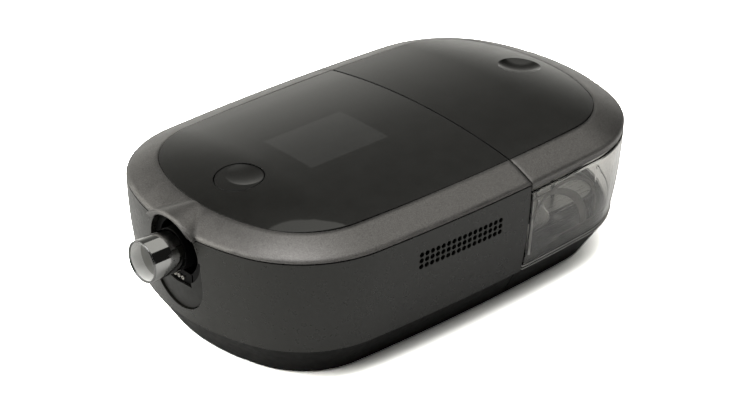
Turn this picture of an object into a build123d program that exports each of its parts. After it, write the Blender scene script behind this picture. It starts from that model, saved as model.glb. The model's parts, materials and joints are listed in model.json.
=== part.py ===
from build123d import *
from math import atan2, cos, degrees, hypot, sin, sqrt, radians
import os

# Table-top CPAP machine: blower half (-X), humidifier half with a pull-out water tank (+X).
# Millimetres, +Z up, feet on z = 0.  Pieces are drawn about the centre of the oval body and
# moved along X on export, so that the origin lies under the middle of the whole machine.

# ---- outer form ------------------------------------------------------------------------
body_length = 273.0          # end to end of the oval case, without the outlet tube
body_width = 170.4
side_radius = 1212.0         # slight bow of the long sides
corner_radius = 59.7
end_radius = 121.7
crease_z = 20.3              # side wall above, dark base below
crease_inset = 5.15          # how far the wall draws in from the seam down to the crease
seam_z = 72.6                # joint between side wall and bezel, the widest level
foot_inset = 18.1            # the base cone where it would meet the table
panel_inset = 16.5           # outline of the glossy panels
panel_z = 80.5               # level of that outline
crown_rise = 6.0             # panels rise from their outline to the top
crown_flat = 76.0            # half length of the straight part of the crown
crown_end_run = 44.0         # length over which the ends fall by crown_rise
crown_turn = 24.0            # degrees that the rounded ends sweep
split_x = 25.5               # transverse seam between the two halves
split_gap = 1.0
core_inset = 30.0            # where ring sections hand over to the flat middle
brow_rise, knee_rise = 0.45, 1.65        # bezel: upright band, then a rounded knee
knee_inset, brow_turn = 1.3, 0.33
bezel_bulge = 0.02           # crown of the bezel's slope, as a share of its run

# ---- shell thicknesses and gaps --------------------------------------------------------
wall = 2.2
base_wall = 3.0
base_floor = 2.4
foot_height = 1.2
seam_gap = 0.7
panel_thickness = 2.5
panel_gap = 0.5
ledge_width = 6.5            # bezel ledge under the edge of a panel
ledge_thickness = 2.2
tongue = 1.6                 # bezel tongue inside the side wall
tongue_drop = 3.0
slip = 0.15                  # clearance between tongue and wall
skirt = 0.8                  # bezel is this much thicker than the wall
socket_gap = 0.1             # clearance of pieces sunk into a pocket
slant_top_x = 20.2           # seam between the two bases leans as it goes down
slant_foot_x = 25.2
slant_gap = 0.5

# ---- air outlet and its recess ---------------------------------------------------------
port_z = 60.3
port_radius = 11.0           # 22 mm breathing-circuit connector
port_bore = 9.9
port_reach = 18.2            # tube end beyond the end of the case
port_seat = 0.6              # thicker where the tube sits in the cup
mouth_radius = 18.8
mouth_wall = 1.8
mouth_depth = 6.0
mouth_lean = 9.6             # degrees, mouth leans out towards the top
mouth_setback = 1.2          # plane of the mouth behind the end of the case
cup_radius = 14.8
cup_wall = 1.4
cup_depth = 27.0
cup_disc = 1.5               # back wall of the recess
tube_flange, tube_flange_width = 1.5, 2.4
cowl_top_z = 81.0
cowl_tip_radius = 12.0
cowl_mouth_radius = 27.0
cowl_mouth_out = 2.2         # that section lies this far beyond the case
plate_radius = 20.0
plate_center_z = 46.5
plate_gap = 0.6
notch_half = 10.5
notch_floor_z = 42.0
notch_head = 4.2             # cup is open this far above the contacts
plate_ear = 1.4              # rim of the plate behind the mouth
plate_set = 1.2              # plate lies this far inside the wall
contact_count = 3
contact_pitch = 3.0
contact_radius = 1.0
contact_bore = 0.6
contact_z = 44.4
contact_proud = 0.8
contact_block_side, contact_block_depth = 1.0, 9.0

# ---- side vent -------------------------------------------------------------------------
vent_rows, vent_columns = 3, 16
vent_hole = 2.8
vent_pitch_x = 3.5
vent_pitch_z = 3.4
vent_center_x, vent_center_z = -22.2, 57.1
vent_margin = 2.0            # mesh overlaps the rows of holes by this much
mesh_thickness = 0.6

# ---- panel, display and button ---------------------------------------------------------
button_x = -93.8
button_radius = 12.3
button_gap = 0.45
button_dish = 1.1            # depth of the thumb dish
button_dish_radius = 10.2
button_travel = 1.0
button_flange, button_flange_width = 1.4, 1.6
button_collar = 6.2          # guide ring under the panel, down from its top
button_wall = 3.0
button_stem = 2.2            # radius of the rod that works the switch
switch_width, switch_height, switch_stroke = 6.0, 2.2, 0.4
plunger_radius = 1.4
dome_out, dome_in = 0.8, 2.4 # silicone ring, from the button's own radius
display_x = -37.0
display_length, display_width, display_thickness = 38.0, 52.0, 2.4
display_leg, display_margin = 3.0, 0.5
panel_underlap = 0.2         # gap from the panel down to what lies under it
carrier_z, carrier_thickness = 76.2, 1.6
board_thickness = 1.6
board_z = 73.0
board_start, board_end_x, board_width = 2.0, 18.0, 80.0
board_post_radius, board_post_step = 2.6, 6.0
board_post_x, board_post_pitch, board_post_y = -84.0, 92.0, 34.0
board_screw_radius, board_screw_head, board_screw_head_height = 1.25, 2.4, 1.4
carrier_side = 0.5           # carrier is this far inside the bezel's ledge
chip_height = 1.2
chip_size, chip_pitch_x, chip_pitch_y = 11.0, 72.0, 28.0
chip_x, chip_y = -70.0, -20.0

# ---- blower ----------------------------------------------------------------------------
blower_x, blower_y = -43.0, -13.0
blower_radius = 36.0
blower_floor_z, blower_split_z, blower_top_z = 20.0, 40.0, 56.0
blower_wall = 2.0
blower_inlet_radius, inlet_lip, inlet_lip_height = 13.0, 1.5, 2.0
nozzle_reach = 6.0           # nozzle end beyond the round case
mount_radius, mount_height = 5.0, 4.0
mount_orbit, mount_count = 28.0, 4
shaft_radius = 2.5
bearing_radius, bearing_height, bearing_fit = 6.5, 4.0, 0.03
bearing_seat = 2.0           # wall around a bearing
cover_thickness, cover_seat = 1.6, 1.8
shaft_end_gap = 0.4
magnet_radius = 9.5
stator_gap, stator_lift = 0.6, 1.5
magnet_margin = 1.0          # magnet is this much shorter than the stator, each end
stator_radius = 21.0
stator_height = 11.0
stator_yoke = 4.0             # width of the stator's outer ring
tooth_half = 1.6
coil_height = 2.2            # end turns above and below a tooth
coil_count = 6
coil_side, coil_gap = 1.8, 0.4           # winding beside a tooth, and its gap to the ring
coil_face_gap, coil_start = 0.3, 1.5
impeller_radius = 29.0
blade_count = 11
blade_height, blade_thickness = 7.0, 1.0
blade_root, blade_mid_x, blade_mid_y, blade_tip_y = 8.0, 17.0, 4.2, 3.0
hub_width, hub_height, wheel_thickness = 3.0, 8.0, 1.4
impeller_lift = 1.0          # gap under the wheel
ear_count = 4
ear_orbit, ear_radius = 39.3, 4.2
ear_low, ear_high = 5.0, 3.0 # ear thickness on the lower and the upper case
ear_start = 80.0             # degrees, keeps the ears off the outlet nozzle

# ---- ducts -----------------------------------------------------------------------------
duct_bore = 9.4
duct_wall = 1.8
supply_y, return_y, duct_z = -38.0, 46.0, 47.0
duct_joint = 0.6             # gap where a duct meets the next piece
seal_height, seal_out, seal_in = 1.6, 2.1, 0.9
sensor_x, sensor_length, sensor_width, sensor_height = -10.0, 14.0, 12.0, 7.0
sensor_sunk = 1.5            # saddle below the top of the duct

# ---- filter drawer ---------------------------------------------------------------------
filter_x, filter_length = -46.0, 46.0
filter_low_z, filter_high_z = 34.0, 62.0
filter_gap = 0.4
filter_depth = 17.0          # from the side wall to the back of the tray
filter_slot_count, filter_slot = 5, 2.2
filter_slot_margin_x, filter_slot_margin_z = 6.0, 4.0
tray_margin = 2.0            # tray is this much smaller than its cover
tray_wall, tray_rim = 1.6, 5.0
bay_rim = 6.0
window_depth = 12.0          # how far cuts in the side wall reach inwards
bay_gap = 0.5
pad_thickness = 8.5

# ---- power inlet -----------------------------------------------------------------------
jack_x, jack_z = 2.0, 40.0
jack_width, jack_height, jack_depth = 13.0, 13.0, 17.0
jack_bore, jack_bore_depth = 3.9, 12.0
jack_clear = 5.0             # length of the round guide for the plug
jack_relief = 0.3            # wider chamber behind it
jack_pin, jack_pin_gap = 1.1, 1.5        # contact pin, set back behind the guide
jack_flange, jack_flange_width = 1.5, 2.0
jack_sunk = 0.5              # face of the socket behind the side wall

# ---- power board and sound foam --------------------------------------------------------
power_board_x, power_board_length, power_board_width = -102.0, 20.0, 48.0
power_post_x, power_post_y = -106.0, 20.0
power_post_radius, power_post_height = 3.0, 4.0
capacitor_x, capacitor_y, capacitor_pitch = -101.0, -9.0, 12.0
capacitor_radius, capacitor_height, capacitor_count = 5.0, 14.0, 2
small_capacitor_y, small_capacitor_radius, small_capacitor_height = 16.0, 4.0, 9.0
foam_x, foam_y = 7.0, 2.0
foam_length, foam_width, foam_height = 21.0, 44.0, 26.0

# ---- humidifier ------------------------------------------------------------------------
heater_x = 78.0
heater_length, heater_width, heater_corner = 76.0, 94.0, 18.0
heater_thickness, heater_proud = 2.4, 0.15
heater_gap = 0.4
heater_post_x, heater_post_y, heater_post_radius = 26.0, 34.0, 4.0
insulator_thickness = 5.0
insulator_seat = 1.6         # thickness left under the screw heads
deck_thickness = 2.6
rail_y, rail_width, rail_height = 60.0, 2.0, 1.3
rail_start_x, rail_end_x = 34.0, 96.0
rail_gap = 0.3
tank_float = 0.6             # tank floor above the deck
tank_wall, tank_floor = 2.0, 2.5
tank_rim_z = 68.2
tank_rim_width, tank_rim_thickness = 10.5, 1.8
tank_plate_thickness = 1.2
tank_plate_margin = 3.0      # metal plate is this much larger than the heater plate
gasket_width = 2.0
gasket_corner = 2.0
horn_reach, horn_wall = 30.0, 1.6
horn_mouth, horn_swell, horn_knee = 17.0, 1.2, 16.5
baffle_x, baffle_radius, baffle_wall = 66.0, 46.0, 1.6
baffle_half_angle, baffle_drop = 58.0, 6.0

# ---- lid -------------------------------------------------------------------------------
lid_low_z = 69.6
lip_height = 1.2             # light lip showing under the lid bezel
lip_inset = 0.35
lid_frame_thickness = 2.8
lid_seal_inset, lid_seal_width = 7.2, 2.8
lid_seal_bury = 1.0
dimple_x = 105.0
dimple_length, dimple_width, dimple_depth = 26.0, 21.0, 2.8
dimple_boss = 1.6
hinge_x, hinge_z = 133.0, 70.0
hinge_pin_radius = 1.0
hinge_fit = 0.05
hinge_lug_radius = 2.2
hinge_clear = 0.4
hinge_half = 13.0            # half of the whole hinge, along Y
hinge_knuckle_half = 6.6     # half of the lid's middle knuckle
hinge_sweep = 4.6            # corner of the lid sweeps this far around the pin
hinge_notch_half = 30.0
ledge_run, ledge_rise, ledge_gap = 5.5, 5.0, 0.4         # shelf below the notch
pocket_run = 1.6             # lid pocket in front of the pin
lug_lean = 30.0              # degrees that the tank lugs lean inwards, going down
lug_arm, lug_arm_length = 2.2, 8.0

# ---- fasteners and feet ----------------------------------------------------------------
screw_radius, screw_head_radius, screw_head_height = 1.5, 2.9, 1.6
screw_clear = 0.1
post_radius = 4.0
post_top_z = 31.0
post_rib, post_screw_depth = 2.0, 6.0
post_inset, post_x, post_pitch = 22.5, -62.0, 68.0
end_post_inset, end_post_y = 24.0, 29.0
base_screw_length, case_screw_length = 17.9, 7.5
foot_radius, foot_recess = 7.0, 0.5
foot_x, foot_y = 94.0, 38.0

# ---- values worked out from the above --------------------------------------------------
half_length, half_width = body_length / 2, body_width / 2
end_x = half_length
blower_end_x = split_x - split_gap / 2
tank_end_x = split_x + split_gap / 2
wall_height = seam_z - crease_z
wall_radius = (wall_height**2 + crease_inset**2) / (2 * crease_inset)
crown_top_z = panel_z + crown_rise
panel_half = half_width - panel_inset
cross_radius = (panel_half**2 + crown_rise**2) / (2 * crown_rise)
crown_end_radius = (crown_end_run**2 + crown_rise**2) / (2 * crown_rise)
tube_end_x = -(end_x + port_reach)
cup_back_x = -end_x + cup_depth
mouth_back_x = -end_x + mouth_depth
deck_top_z = crease_z
tank_low_z = deck_top_z + tank_float
duct_radius = duct_bore + duct_wall
bulkhead_x = blower_end_x - wall
nozzle_end_x = blower_x + blower_radius + nozzle_reach
floor_top_z = foot_height + base_floor
board_top_z = board_z + board_thickness
power_board_z = floor_top_z + power_post_height
lid_top_low_z = lid_low_z + lip_height
ledge_low_z = panel_z - panel_thickness - ledge_thickness
panel_cut_z = crown_top_z + 5            # above everything
big = 400.0                  # reaches past the machine, for cuts


# ---- helpers ---------------------------------------------------------------------------
def block(x0, x1, y0, y1, z0, z1):
    """Box from its two corners."""
    return Pos((x0 + x1) / 2, (y0 + y1) / 2, (z0 + z1) / 2) * Box(x1 - x0, y1 - y0, z1 - z0)


def rod_z(x, y, z0, z1, radius):
    return Pos(x, y, (z0 + z1) / 2) * Cylinder(radius, z1 - z0)


def rod_x(x0, x1, y, z, radius):
    return Pos((x0 + x1) / 2, y, z) * Rot(0, 90, 0) * Cylinder(radius, x1 - x0)


def rod_y(x, y0, y1, z, radius):
    return Pos(x, (y0 + y1) / 2, z) * Rot(90, 0, 0) * Cylinder(radius, y1 - y0)


def pipe_x(x0, x1, y, z, outer, inner):
    return rod_x(x0, x1, y, z, outer) - rod_x(x0 - 1, x1 + 1, y, z, inner)


def slab_z(face, z0, z1):
    """Flat face pulled up from z0 to z1."""
    return extrude(Pos(0, 0, z0) * face, z1 - z0)


def union(shapes):
    return Part() + list(shapes)


def below_x(x):
    return block(-big, x, -big, big, -big, big)


def above_x(x):
    return block(x, big, -big, big, -big, big)


def left_of_slant(shift):
    """Everything on the blower side of the leaning seam between the two bases."""
    run = slant_foot_x - slant_top_x
    high_x = slant_top_x - run * (big - crease_z) / crease_z
    low_x = slant_foot_x + run * big / crease_z
    top, foot = (high_x + shift, 0, big), (low_x + shift, 0, -big)
    side = Polyline((-big, 0, big), top, foot, (-big, 0, -big), close=True)
    return extrude(make_face(side), big, both=True, dir=(0, 1, 0))


def corner_center():
    """Centre of the corner arcs, tangent to both the side arc and the end arc."""
    side_center, end_center = half_width - side_radius, half_length - end_radius
    from_side, from_end = side_radius - corner_radius, end_radius - corner_radius
    apart = hypot(end_center, side_center)
    along = (from_side**2 - from_end**2 + apart**2) / (2 * apart)
    off = sqrt(from_side**2 - along**2)
    ux, uy = end_center / apart, -side_center / apart
    return ux * along + uy * off, side_center + uy * along - ux * off


def outline_arcs():
    """The eight tangent arcs of the oval: centre, radius, start angle, sweep."""
    px, py = corner_center()
    side_c, end_c = half_width - side_radius, half_length - end_radius
    steep = degrees(atan2(py - side_c, px))
    flat = degrees(atan2(py, px - end_c))
    turn = steep - flat
    return [
        ((end_c, 0), end_radius, -flat, 2 * flat),
        ((px, py), corner_radius, flat, turn),
        ((0, side_c), side_radius, steep, 180 - 2 * steep),
        ((-px, py), corner_radius, 180 - steep, turn),
        ((-end_c, 0), end_radius, 180 - flat, 2 * flat),
        ((-px, -py), corner_radius, 180 + flat, turn),
        ((0, -side_c), side_radius, 180 + steep, 180 - 2 * steep),
        ((px, -py), corner_radius, 360 - steep, turn),
    ]


def outline(inset):
    """Flat oval, parallel to the case outline."""
    return make_face([CenterArc(c, r - inset, start, sweep) for c, r, start, sweep in outline_arcs()])


def tank_outline(inset):
    """The humidifier half of the oval, with the same inset along the seam."""
    return outline(inset) & Pos(tank_end_x + inset + big / 2, 0) * Rectangle(big, big)


def at(inset, z):
    """Point of a ring section: distance in from the case outline, and level."""
    return (-inset, 0, z)


def ring(section):
    """Carry a section of (inset, level) points around the whole oval."""
    return union(
        Pos(*center, 0) * Rot(0, 0, start) * revolve(Pos(radius, 0, 0) * section, Axis.Z, sweep)
        for center, radius, start, sweep in outline_arcs()
    )


def wall_inset(z, depth=0.0):
    """Inset of the side wall's surface, or of a surface that deep inside it."""
    return wall_radius - sqrt((wall_radius - depth) ** 2 - (seam_z - z) ** 2)


def wall_arc(z0, z1, depth):
    levels = (z0, (z0 + z1) / 2, z1)
    return ThreePointArc(*[at(wall_inset(z, depth), z) for z in levels])


def wall_band(z0, z1, depth0, depth1):
    """Curved wall between two depths, all around."""
    outer, inner = wall_arc(z0, z1, depth0), wall_arc(z1, z0, depth1)
    return ring(make_face([outer, Line(outer @ 1, inner @ 0), inner, Line(inner @ 1, outer @ 0)]))


def wall_fill(z0, z1, depth=0.0):
    """Solid of everything inside the wall surface at that depth."""
    outer = wall_arc(z0, z1, depth)
    rest = Polyline(outer @ 1, at(core_inset, z1), at(core_inset, z0), outer @ 0)
    middle = slab_z(outline(core_inset - 1), z0, z1)
    return ring(make_face([outer, *rest.edges()])) + middle


def base_inset(z):
    return foot_inset + (crease_inset - foot_inset) * z / crease_z


def base_fill(z0, z1, depth=0.0):
    """Solid inside the cone of the base."""
    section = Polyline(
        at(base_inset(z0) + depth, z0), at(base_inset(z1) + depth, z1),
        at(core_inset, z1), at(core_inset, z0), close=True,
    )
    return ring(make_face(section)) + slab_z(outline(core_inset - 1), z0, z1)


def crown(drop):
    """Solid under the domed top, lowered by drop all over."""
    radius = cross_radius - drop
    center_z = crown_top_z - cross_radius
    edge_z = center_z + sqrt(radius**2 - half_width**2)
    floor_z = seam_z - 10
    arc = ThreePointArc((0, -half_width, edge_z), (0, 0, center_z + radius), (0, half_width, edge_z))
    rest = Polyline(arc @ 1, (0, half_width, floor_z), (0, -half_width, floor_z), arc @ 0)
    profile = make_face([arc, *rest.edges()])
    axis_z = crown_top_z - crown_end_radius
    turned = [extrude(profile, crown_flat, both=True, dir=(1, 0, 0))]
    for side in (-1, 1):
        start_x = side * crown_flat
        axis = Axis((start_x, 0, axis_z), (0, side, 0))
        turned.append(revolve(Pos(start_x, 0, 0) * profile, axis, crown_turn))
    return union(turned)


def crown_z(x, y):
    """Height of the domed top at a point."""
    across = cross_radius - sqrt(cross_radius**2 - y**2)
    over = max(abs(x) - crown_flat, 0)
    return crown_top_z - across - (crown_end_radius - sqrt(crown_end_radius**2 - over**2))


def panel_shell(gap):
    """Both glossy panels as one domed sheet."""
    prism = slab_z(outline(panel_inset + gap), seam_z, panel_cut_z)
    return (crown(0) - crown(panel_thickness)) & prism


def bezel_ring(low_z):
    """Metallic frame around the panels, with the ledge that carries them."""
    knee_x, knee_z = knee_inset, seam_z + knee_rise
    run, rise = panel_inset - knee_x, panel_z - knee_z
    mid_x = (knee_x + panel_inset) / 2 - bezel_bulge * rise
    mid_z = (knee_z + panel_z) / 2 + bezel_bulge * run
    foot, brow, knee = at(0, low_z), at(0, seam_z + brow_rise), at(knee_x, knee_z)
    turn_z = seam_z + (brow_rise + knee_rise) / 2 + 0.1
    corner = ThreePointArc(brow, at(brow_turn, turn_z), knee)
    top = ThreePointArc(knee, at(mid_x, mid_z), at(panel_inset, panel_z))
    ledge, back = panel_inset + ledge_width, wall + skirt
    inner = [
        at(panel_inset, panel_z), at(ledge, panel_z), at(ledge, ledge_low_z),
        at(panel_inset - wall - skirt, ledge_low_z), at(back, seam_z + 0.6), at(back, low_z), foot,
    ]
    frame = ring(make_face([Line(foot, brow), corner, top, *Polyline(*inner).edges()]))
    pocket = slab_z(outline(panel_inset), seam_z, panel_cut_z) - crown(panel_thickness)
    return frame - pocket


def mouth_cut(radius):
    """The round mouth of the outlet recess, out past the end of the case."""
    return rod_x(-big, mouth_back_x, 0, port_z, radius)


def mouth_front():
    """Everything in front of the leaning plane of the mouth."""
    lean = Pos(mouth_setback - end_x, 0, port_z) * Rot(0, -mouth_lean, 0)
    return lean * block(-big, 0, -big, big, -big, big)


def obround(radius, x0, x1):
    """Upright slot shape of the recess, along X."""
    upper = block(x0, x1, -radius, radius, plate_center_z, port_z)
    return rod_x(x0, x1, 0, plate_center_z, radius) + upper


# ---- blower half: case -----------------------------------------------------------------
def post_places():
    """Screw posts of the blower half: place, and direction of the rib to the wall."""
    side_y = half_width - post_inset
    places = [(x, side * side_y, 0, side) for x in (post_x, post_x + post_pitch) for side in (-1, 1)]
    return places + [(end_post_inset - end_x, side * end_post_y, -1, 0) for side in (-1, 1)]


def vent_holes(y0, y1, radius):
    first_x = vent_center_x - vent_pitch_x * (vent_columns - 1) / 2
    first_z = vent_center_z - vent_pitch_z * (vent_rows - 1) / 2
    return [
        rod_y(first_x + column * vent_pitch_x, y0, y1, first_z + row * vent_pitch_z, radius)
        for column in range(vent_columns)
        for row in range(vent_rows)
    ]


def filter_window(margin):
    """Opening of the filter drawer in the far side wall."""
    half = filter_length / 2 + margin
    low_z, high_z = filter_low_z - margin, filter_high_z + margin
    return block(filter_x - half, filter_x + half, half_width - window_depth, big, low_z, high_z)


def housing_posts():
    """Screw posts of the wall, each with a rib out to it."""
    posts = []
    for x, y, toward_x, toward_y in post_places():
        posts.append(rod_z(x, y, floor_top_z, post_top_z, post_radius))
        if toward_y:
            low_x, high_x = x - post_rib / 2, x + post_rib / 2
            low_y, high_y = sorted((y, toward_y * big))
        else:
            low_x, high_x = -big, x
            low_y, high_y = y - post_rib / 2, y + post_rib / 2
        posts.append(block(low_x, high_x, low_y, high_y, crease_z + 1, post_top_z))
    inside = wall_fill(crease_z - 1, seam_z - post_screw_depth, wall / 2)
    inside += base_fill(floor_top_z, crease_z, base_wall + 2 * slip)
    return union(posts) & inside


def main_housing():
    top_z = seam_z - seam_gap / 2
    shell = wall_band(crease_z, top_z, 0, wall) & below_x(blower_end_x)
    bulkhead = wall_fill(crease_z, top_z, wall / 2) & block(bulkhead_x, blower_end_x, -big, big, 0, big)
    collar = pipe_x(-end_x, mouth_back_x, 0, port_z, mouth_radius + mouth_wall, mouth_radius)
    collar = collar & wall_fill(port_z, top_z, wall / 2)
    body = shell + bulkhead + housing_posts() + collar
    jack_half = jack_width / 2
    screw_top_z = post_top_z - post_screw_depth
    cuts = [
        rod_x(-big, mouth_back_x, 0, port_z, mouth_radius),
        obround(plate_radius, -big, cup_back_x),
        filter_window(filter_gap),
        block(jack_x - jack_half, jack_x + jack_half, half_width - window_depth, big,
              jack_z - jack_height / 2, jack_z + jack_height / 2),
        *vent_holes(-big, -half_width + window_depth, vent_hole / 2),
        *[rod_z(x, y, 0, screw_top_z, screw_radius + screw_clear) for x, y, _, _ in post_places()],
    ]
    for y in (supply_y, return_y):
        cuts.append(rod_x(0, big, y, duct_z, duct_radius + slip))
        cuts.append(rod_x(blower_end_x - seal_height / 2, big, y, duct_z, duct_radius + seal_out + slip))
    return body - union(cuts)


def cowl():
    """Raised brow of the bezel over the outlet, before it is hollowed."""
    tip_z, mouth_z = cowl_top_z - cowl_tip_radius, cowl_top_z - cowl_mouth_radius
    tip = Pos(panel_inset - end_x, 0, tip_z) * Rot(0, 90, 0) * Circle(cowl_tip_radius)
    mouth = Pos(-end_x - cowl_mouth_out, 0, mouth_z) * Rot(0, 90, 0) * Circle(cowl_mouth_radius)
    body = loft([tip, mouth], ruled=True) & block(-big, 0, -big, big, seam_z + seam_gap / 2, big)
    body -= block(mouth_back_x, 0, -big, big, 0, ledge_low_z)
    return body - slab_z(outline(panel_inset), seam_z, panel_cut_z)


def front_bezel():
    low_z = seam_z + seam_gap / 2
    near, far = wall + slip, wall + slip + tongue
    lip = wall_band(seam_z - tongue_drop, low_z + 0.5, near, far) & below_x(bulkhead_x - slip)
    lip -= rod_x(-big, mouth_back_x + 1, 0, port_z, mouth_radius + mouth_wall + 2 * slip)
    cup = rod_x(-big, cup_back_x, 0, port_z, cup_radius + cup_wall + slip)
    body = (bezel_ring(low_z) + lip) & below_x(blower_end_x)
    return body + cowl() - mouth_cut(mouth_radius) - mouth_front() - cup


def front_panel():
    body = panel_shell(panel_gap / 2) & below_x(blower_end_x)
    top_z = crown_z(button_x, 0)
    hole = button_radius + button_gap
    collar = rod_z(button_x, 0, top_z - button_collar, top_z, hole + button_flange_width) & crown(1.0)
    return body + collar - rod_z(button_x, 0, 0, big, hole)


def panel_carrier():
    """Flat plate under the panel, resting on screw posts of the board."""
    top_z = carrier_z + carrier_thickness
    plate = slab_z(outline(panel_inset + ledge_width + carrier_side), carrier_z, top_z)
    plate &= block(cup_back_x + 1, blower_end_x - 1, -big, big, 0, big)
    half_x, half_y = display_length / 2 + display_margin, display_width / 2 + display_margin
    plate -= block(display_x - half_x, display_x + half_x, -half_y, half_y, 0, big)
    plate -= rod_z(button_x, 0, 0, big, button_radius + button_wall + button_flange_width)
    for x, y in board_posts():
        plate += rod_z(x, y, board_top_z, carrier_z + 0.2, board_post_radius)
        plate -= rod_z(x, y, board_top_z - 1, carrier_z + 1, board_screw_radius)
        plate += rod_z(x + board_post_step, y, top_z - 0.2, big, board_post_radius)
    return plate & crown(panel_thickness + panel_underlap / 2)


def board_posts():
    rows = (board_post_x, board_post_x + board_post_pitch)
    return [(x, side * board_post_y) for x in rows for side in (-1, 1)]


def main_board():
    half = board_width / 2
    board = block(cup_back_x + board_start, board_end_x, -half, half, board_z, board_top_z)
    for x, y in board_posts():
        board -= rod_z(x, y, 0, big, board_screw_radius + screw_clear)
    return board


def board_screws():
    head_z = board_z - board_screw_head_height
    return [
        rod_z(x, y, head_z, board_z, board_screw_head)
        + rod_z(x, y, board_z - 0.2, carrier_z + 0.8, board_screw_radius)
        for x, y in board_posts()
    ]


def board_chips():
    """Packages soldered on the top of the main board."""
    corners = [(chip_x + i * chip_pitch_x, chip_y + j * chip_pitch_y) for i in (0, 1) for j in (0, 1)]
    top_z = board_top_z + chip_height
    return [block(x, x + chip_size, y, y + chip_size, board_top_z, top_z) for x, y in corners]


def display_module():
    """Display glass on four legs that stand on the main board."""
    top_z = crown_z(display_x, display_width / 2) - panel_thickness - panel_underlap
    low_z = top_z - display_thickness
    half_x, half_y = display_length / 2, display_width / 2
    module = block(display_x - half_x, display_x + half_x, -half_y, half_y, low_z, top_z)
    for side_x in (-1, 1):
        for side_y in (-1, 1):
            x0, x1 = sorted((side_x * half_x, side_x * (half_x - display_leg)))
            y0, y1 = sorted((side_y * half_y, side_y * (half_y - display_leg)))
            module += block(display_x + x0, display_x + x1, y0, y1, board_top_z, low_z + 0.2)
    return module


def outlet_cup():
    """Black cup that closes the recess around the outlet tube."""
    disc_x = mouth_back_x - cup_disc
    body = rod_x(disc_x, mouth_back_x, 0, port_z, mouth_radius - socket_gap)
    body += rod_x(disc_x, cup_back_x, 0, port_z, cup_radius + cup_wall)
    body -= rod_x(-big, cup_back_x - cup_wall, 0, port_z, cup_radius)
    body -= block(-big, mouth_back_x, -notch_half, notch_half, 0, contact_z + notch_head)
    return body - rod_x(-big, 0, 0, port_z, port_radius + port_seat)


def outlet_plate():
    """Plate set into the recess below the mouth, with the contact notch."""
    skin = wall_band(crease_z, port_z, plate_set, wall) & below_x(cup_radius - end_x)
    rim_start = plate_ear + plate_gap - end_x
    rim = pipe_x(rim_start, mouth_back_x, 0, port_z, mouth_radius + plate_ear, mouth_radius)
    rim -= block(-big, 0, -notch_half, notch_half, 0, port_z)
    body = skin + (rim & wall_fill(crease_z, port_z, plate_ear))
    body = body & obround(plate_radius - plate_gap, -big, 0)
    notch = block(-big, 0, -notch_half, notch_half, notch_floor_z, port_z)
    return body - mouth_cut(mouth_radius) - notch


def outlet_tube():
    tube = rod_x(tube_end_x, cup_back_x, 0, port_z, port_radius)
    tube += rod_x(cup_back_x - cup_wall, cup_back_x, 0, port_z, port_radius + port_seat)
    tube += rod_x(cup_back_x, cup_back_x + tube_flange, 0, port_z, port_radius + tube_flange_width)
    return tube - rod_x(-big, 0, 0, port_z, port_bore)


def contact_block():
    """Socket block of the heated tube, under the outlet."""
    face_x = mouth_back_x - cup_disc
    low_z, high_z = notch_floor_z - contact_block_side, contact_z + notch_head - 2 * socket_gap
    half = notch_half - contact_block_side
    face = block(face_x, mouth_back_x, -half, half, low_z, high_z)
    body = block(mouth_back_x, mouth_back_x + contact_block_depth, -half, half, low_z, high_z)
    body -= rod_x(-big, 0, 0, port_z, cup_radius + cup_wall + slip)
    face -= rod_x(-big, 0, 0, port_z, port_radius + 1)
    return face + body


def tube_contacts():
    """Ring contacts on the face of the socket block."""
    face_x = mouth_back_x - cup_disc
    rings = []
    for i in range(contact_count):
        y = (i - (contact_count - 1) / 2) * contact_pitch
        rings.append(pipe_x(face_x - contact_proud, face_x, y, contact_z, contact_radius, contact_bore))
    return rings


def vent_mesh():
    half_l = vent_pitch_x * vent_columns / 2 + vent_margin
    half_h = vent_pitch_z * vent_rows / 2 + vent_margin
    low_z, high_z = vent_center_z - half_h, vent_center_z + half_h
    strip = wall_band(low_z, high_z, wall + socket_gap / 2, wall + mesh_thickness)
    return strip & block(vent_center_x - half_l, vent_center_x + half_l, -big, 0, 0, big)


def base_shell():
    return base_fill(foot_height, crease_z) - base_fill(floor_top_z, crease_z + 1, base_wall)


def foot_places():
    return [(end * foot_x, side * foot_y) for end in (-1, 1) for side in (-1, 1)]


def foot_pockets():
    top_z = foot_height + foot_recess
    return [rod_z(x, y, 0, top_z, foot_radius + socket_gap) for x, y in foot_places()]


def around_blower(orbit, count, start):
    """Evenly spaced places around the blower's axis."""
    angles = [radians(start + i * 360 / count) for i in range(count)]
    return [(blower_x + orbit * cos(a), blower_y + orbit * sin(a)) for a in angles]


def blower_mount_places():
    return around_blower(mount_orbit, mount_count, 180 / mount_count)


def blower_base():
    blower_side = left_of_slant(-slant_gap / 2)
    end_web = base_fill(floor_top_z - 0.5, crease_z - 0.4, base_wall - 1)
    body = base_shell() & blower_side
    body += (end_web & blower_side) - left_of_slant(-slant_gap / 2 - wall)
    for x, y in blower_mount_places():
        body += rod_z(x, y, floor_top_z - 0.5, blower_floor_z - mount_height, mount_radius)
    for x, y in power_posts():
        body += rod_z(x, y, floor_top_z - 0.5, power_board_z, power_post_radius)
    head_top_z = foot_height + screw_head_height + 0.2
    for x, y, _, _ in post_places():
        body -= rod_z(x, y, 0, big, screw_radius + screw_clear)
        body -= rod_z(x, y, 0, head_top_z, screw_head_radius + screw_clear)
    return body - union(foot_pockets())


def base_screws():
    head_z = foot_height + 0.2
    return [
        rod_z(x, y, head_z, head_z + screw_head_height, screw_head_radius)
        + rod_z(x, y, head_z, head_z + base_screw_length, screw_radius)
        for x, y, _, _ in post_places()
    ]


def rubber_feet():
    return [rod_z(x, y, 0, foot_height + foot_recess, foot_radius) for x, y in foot_places()]


# ---- power inlet and power board -------------------------------------------------------
def power_posts():
    return [(power_post_x, side * power_post_y) for side in (-1, 1)]


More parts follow.
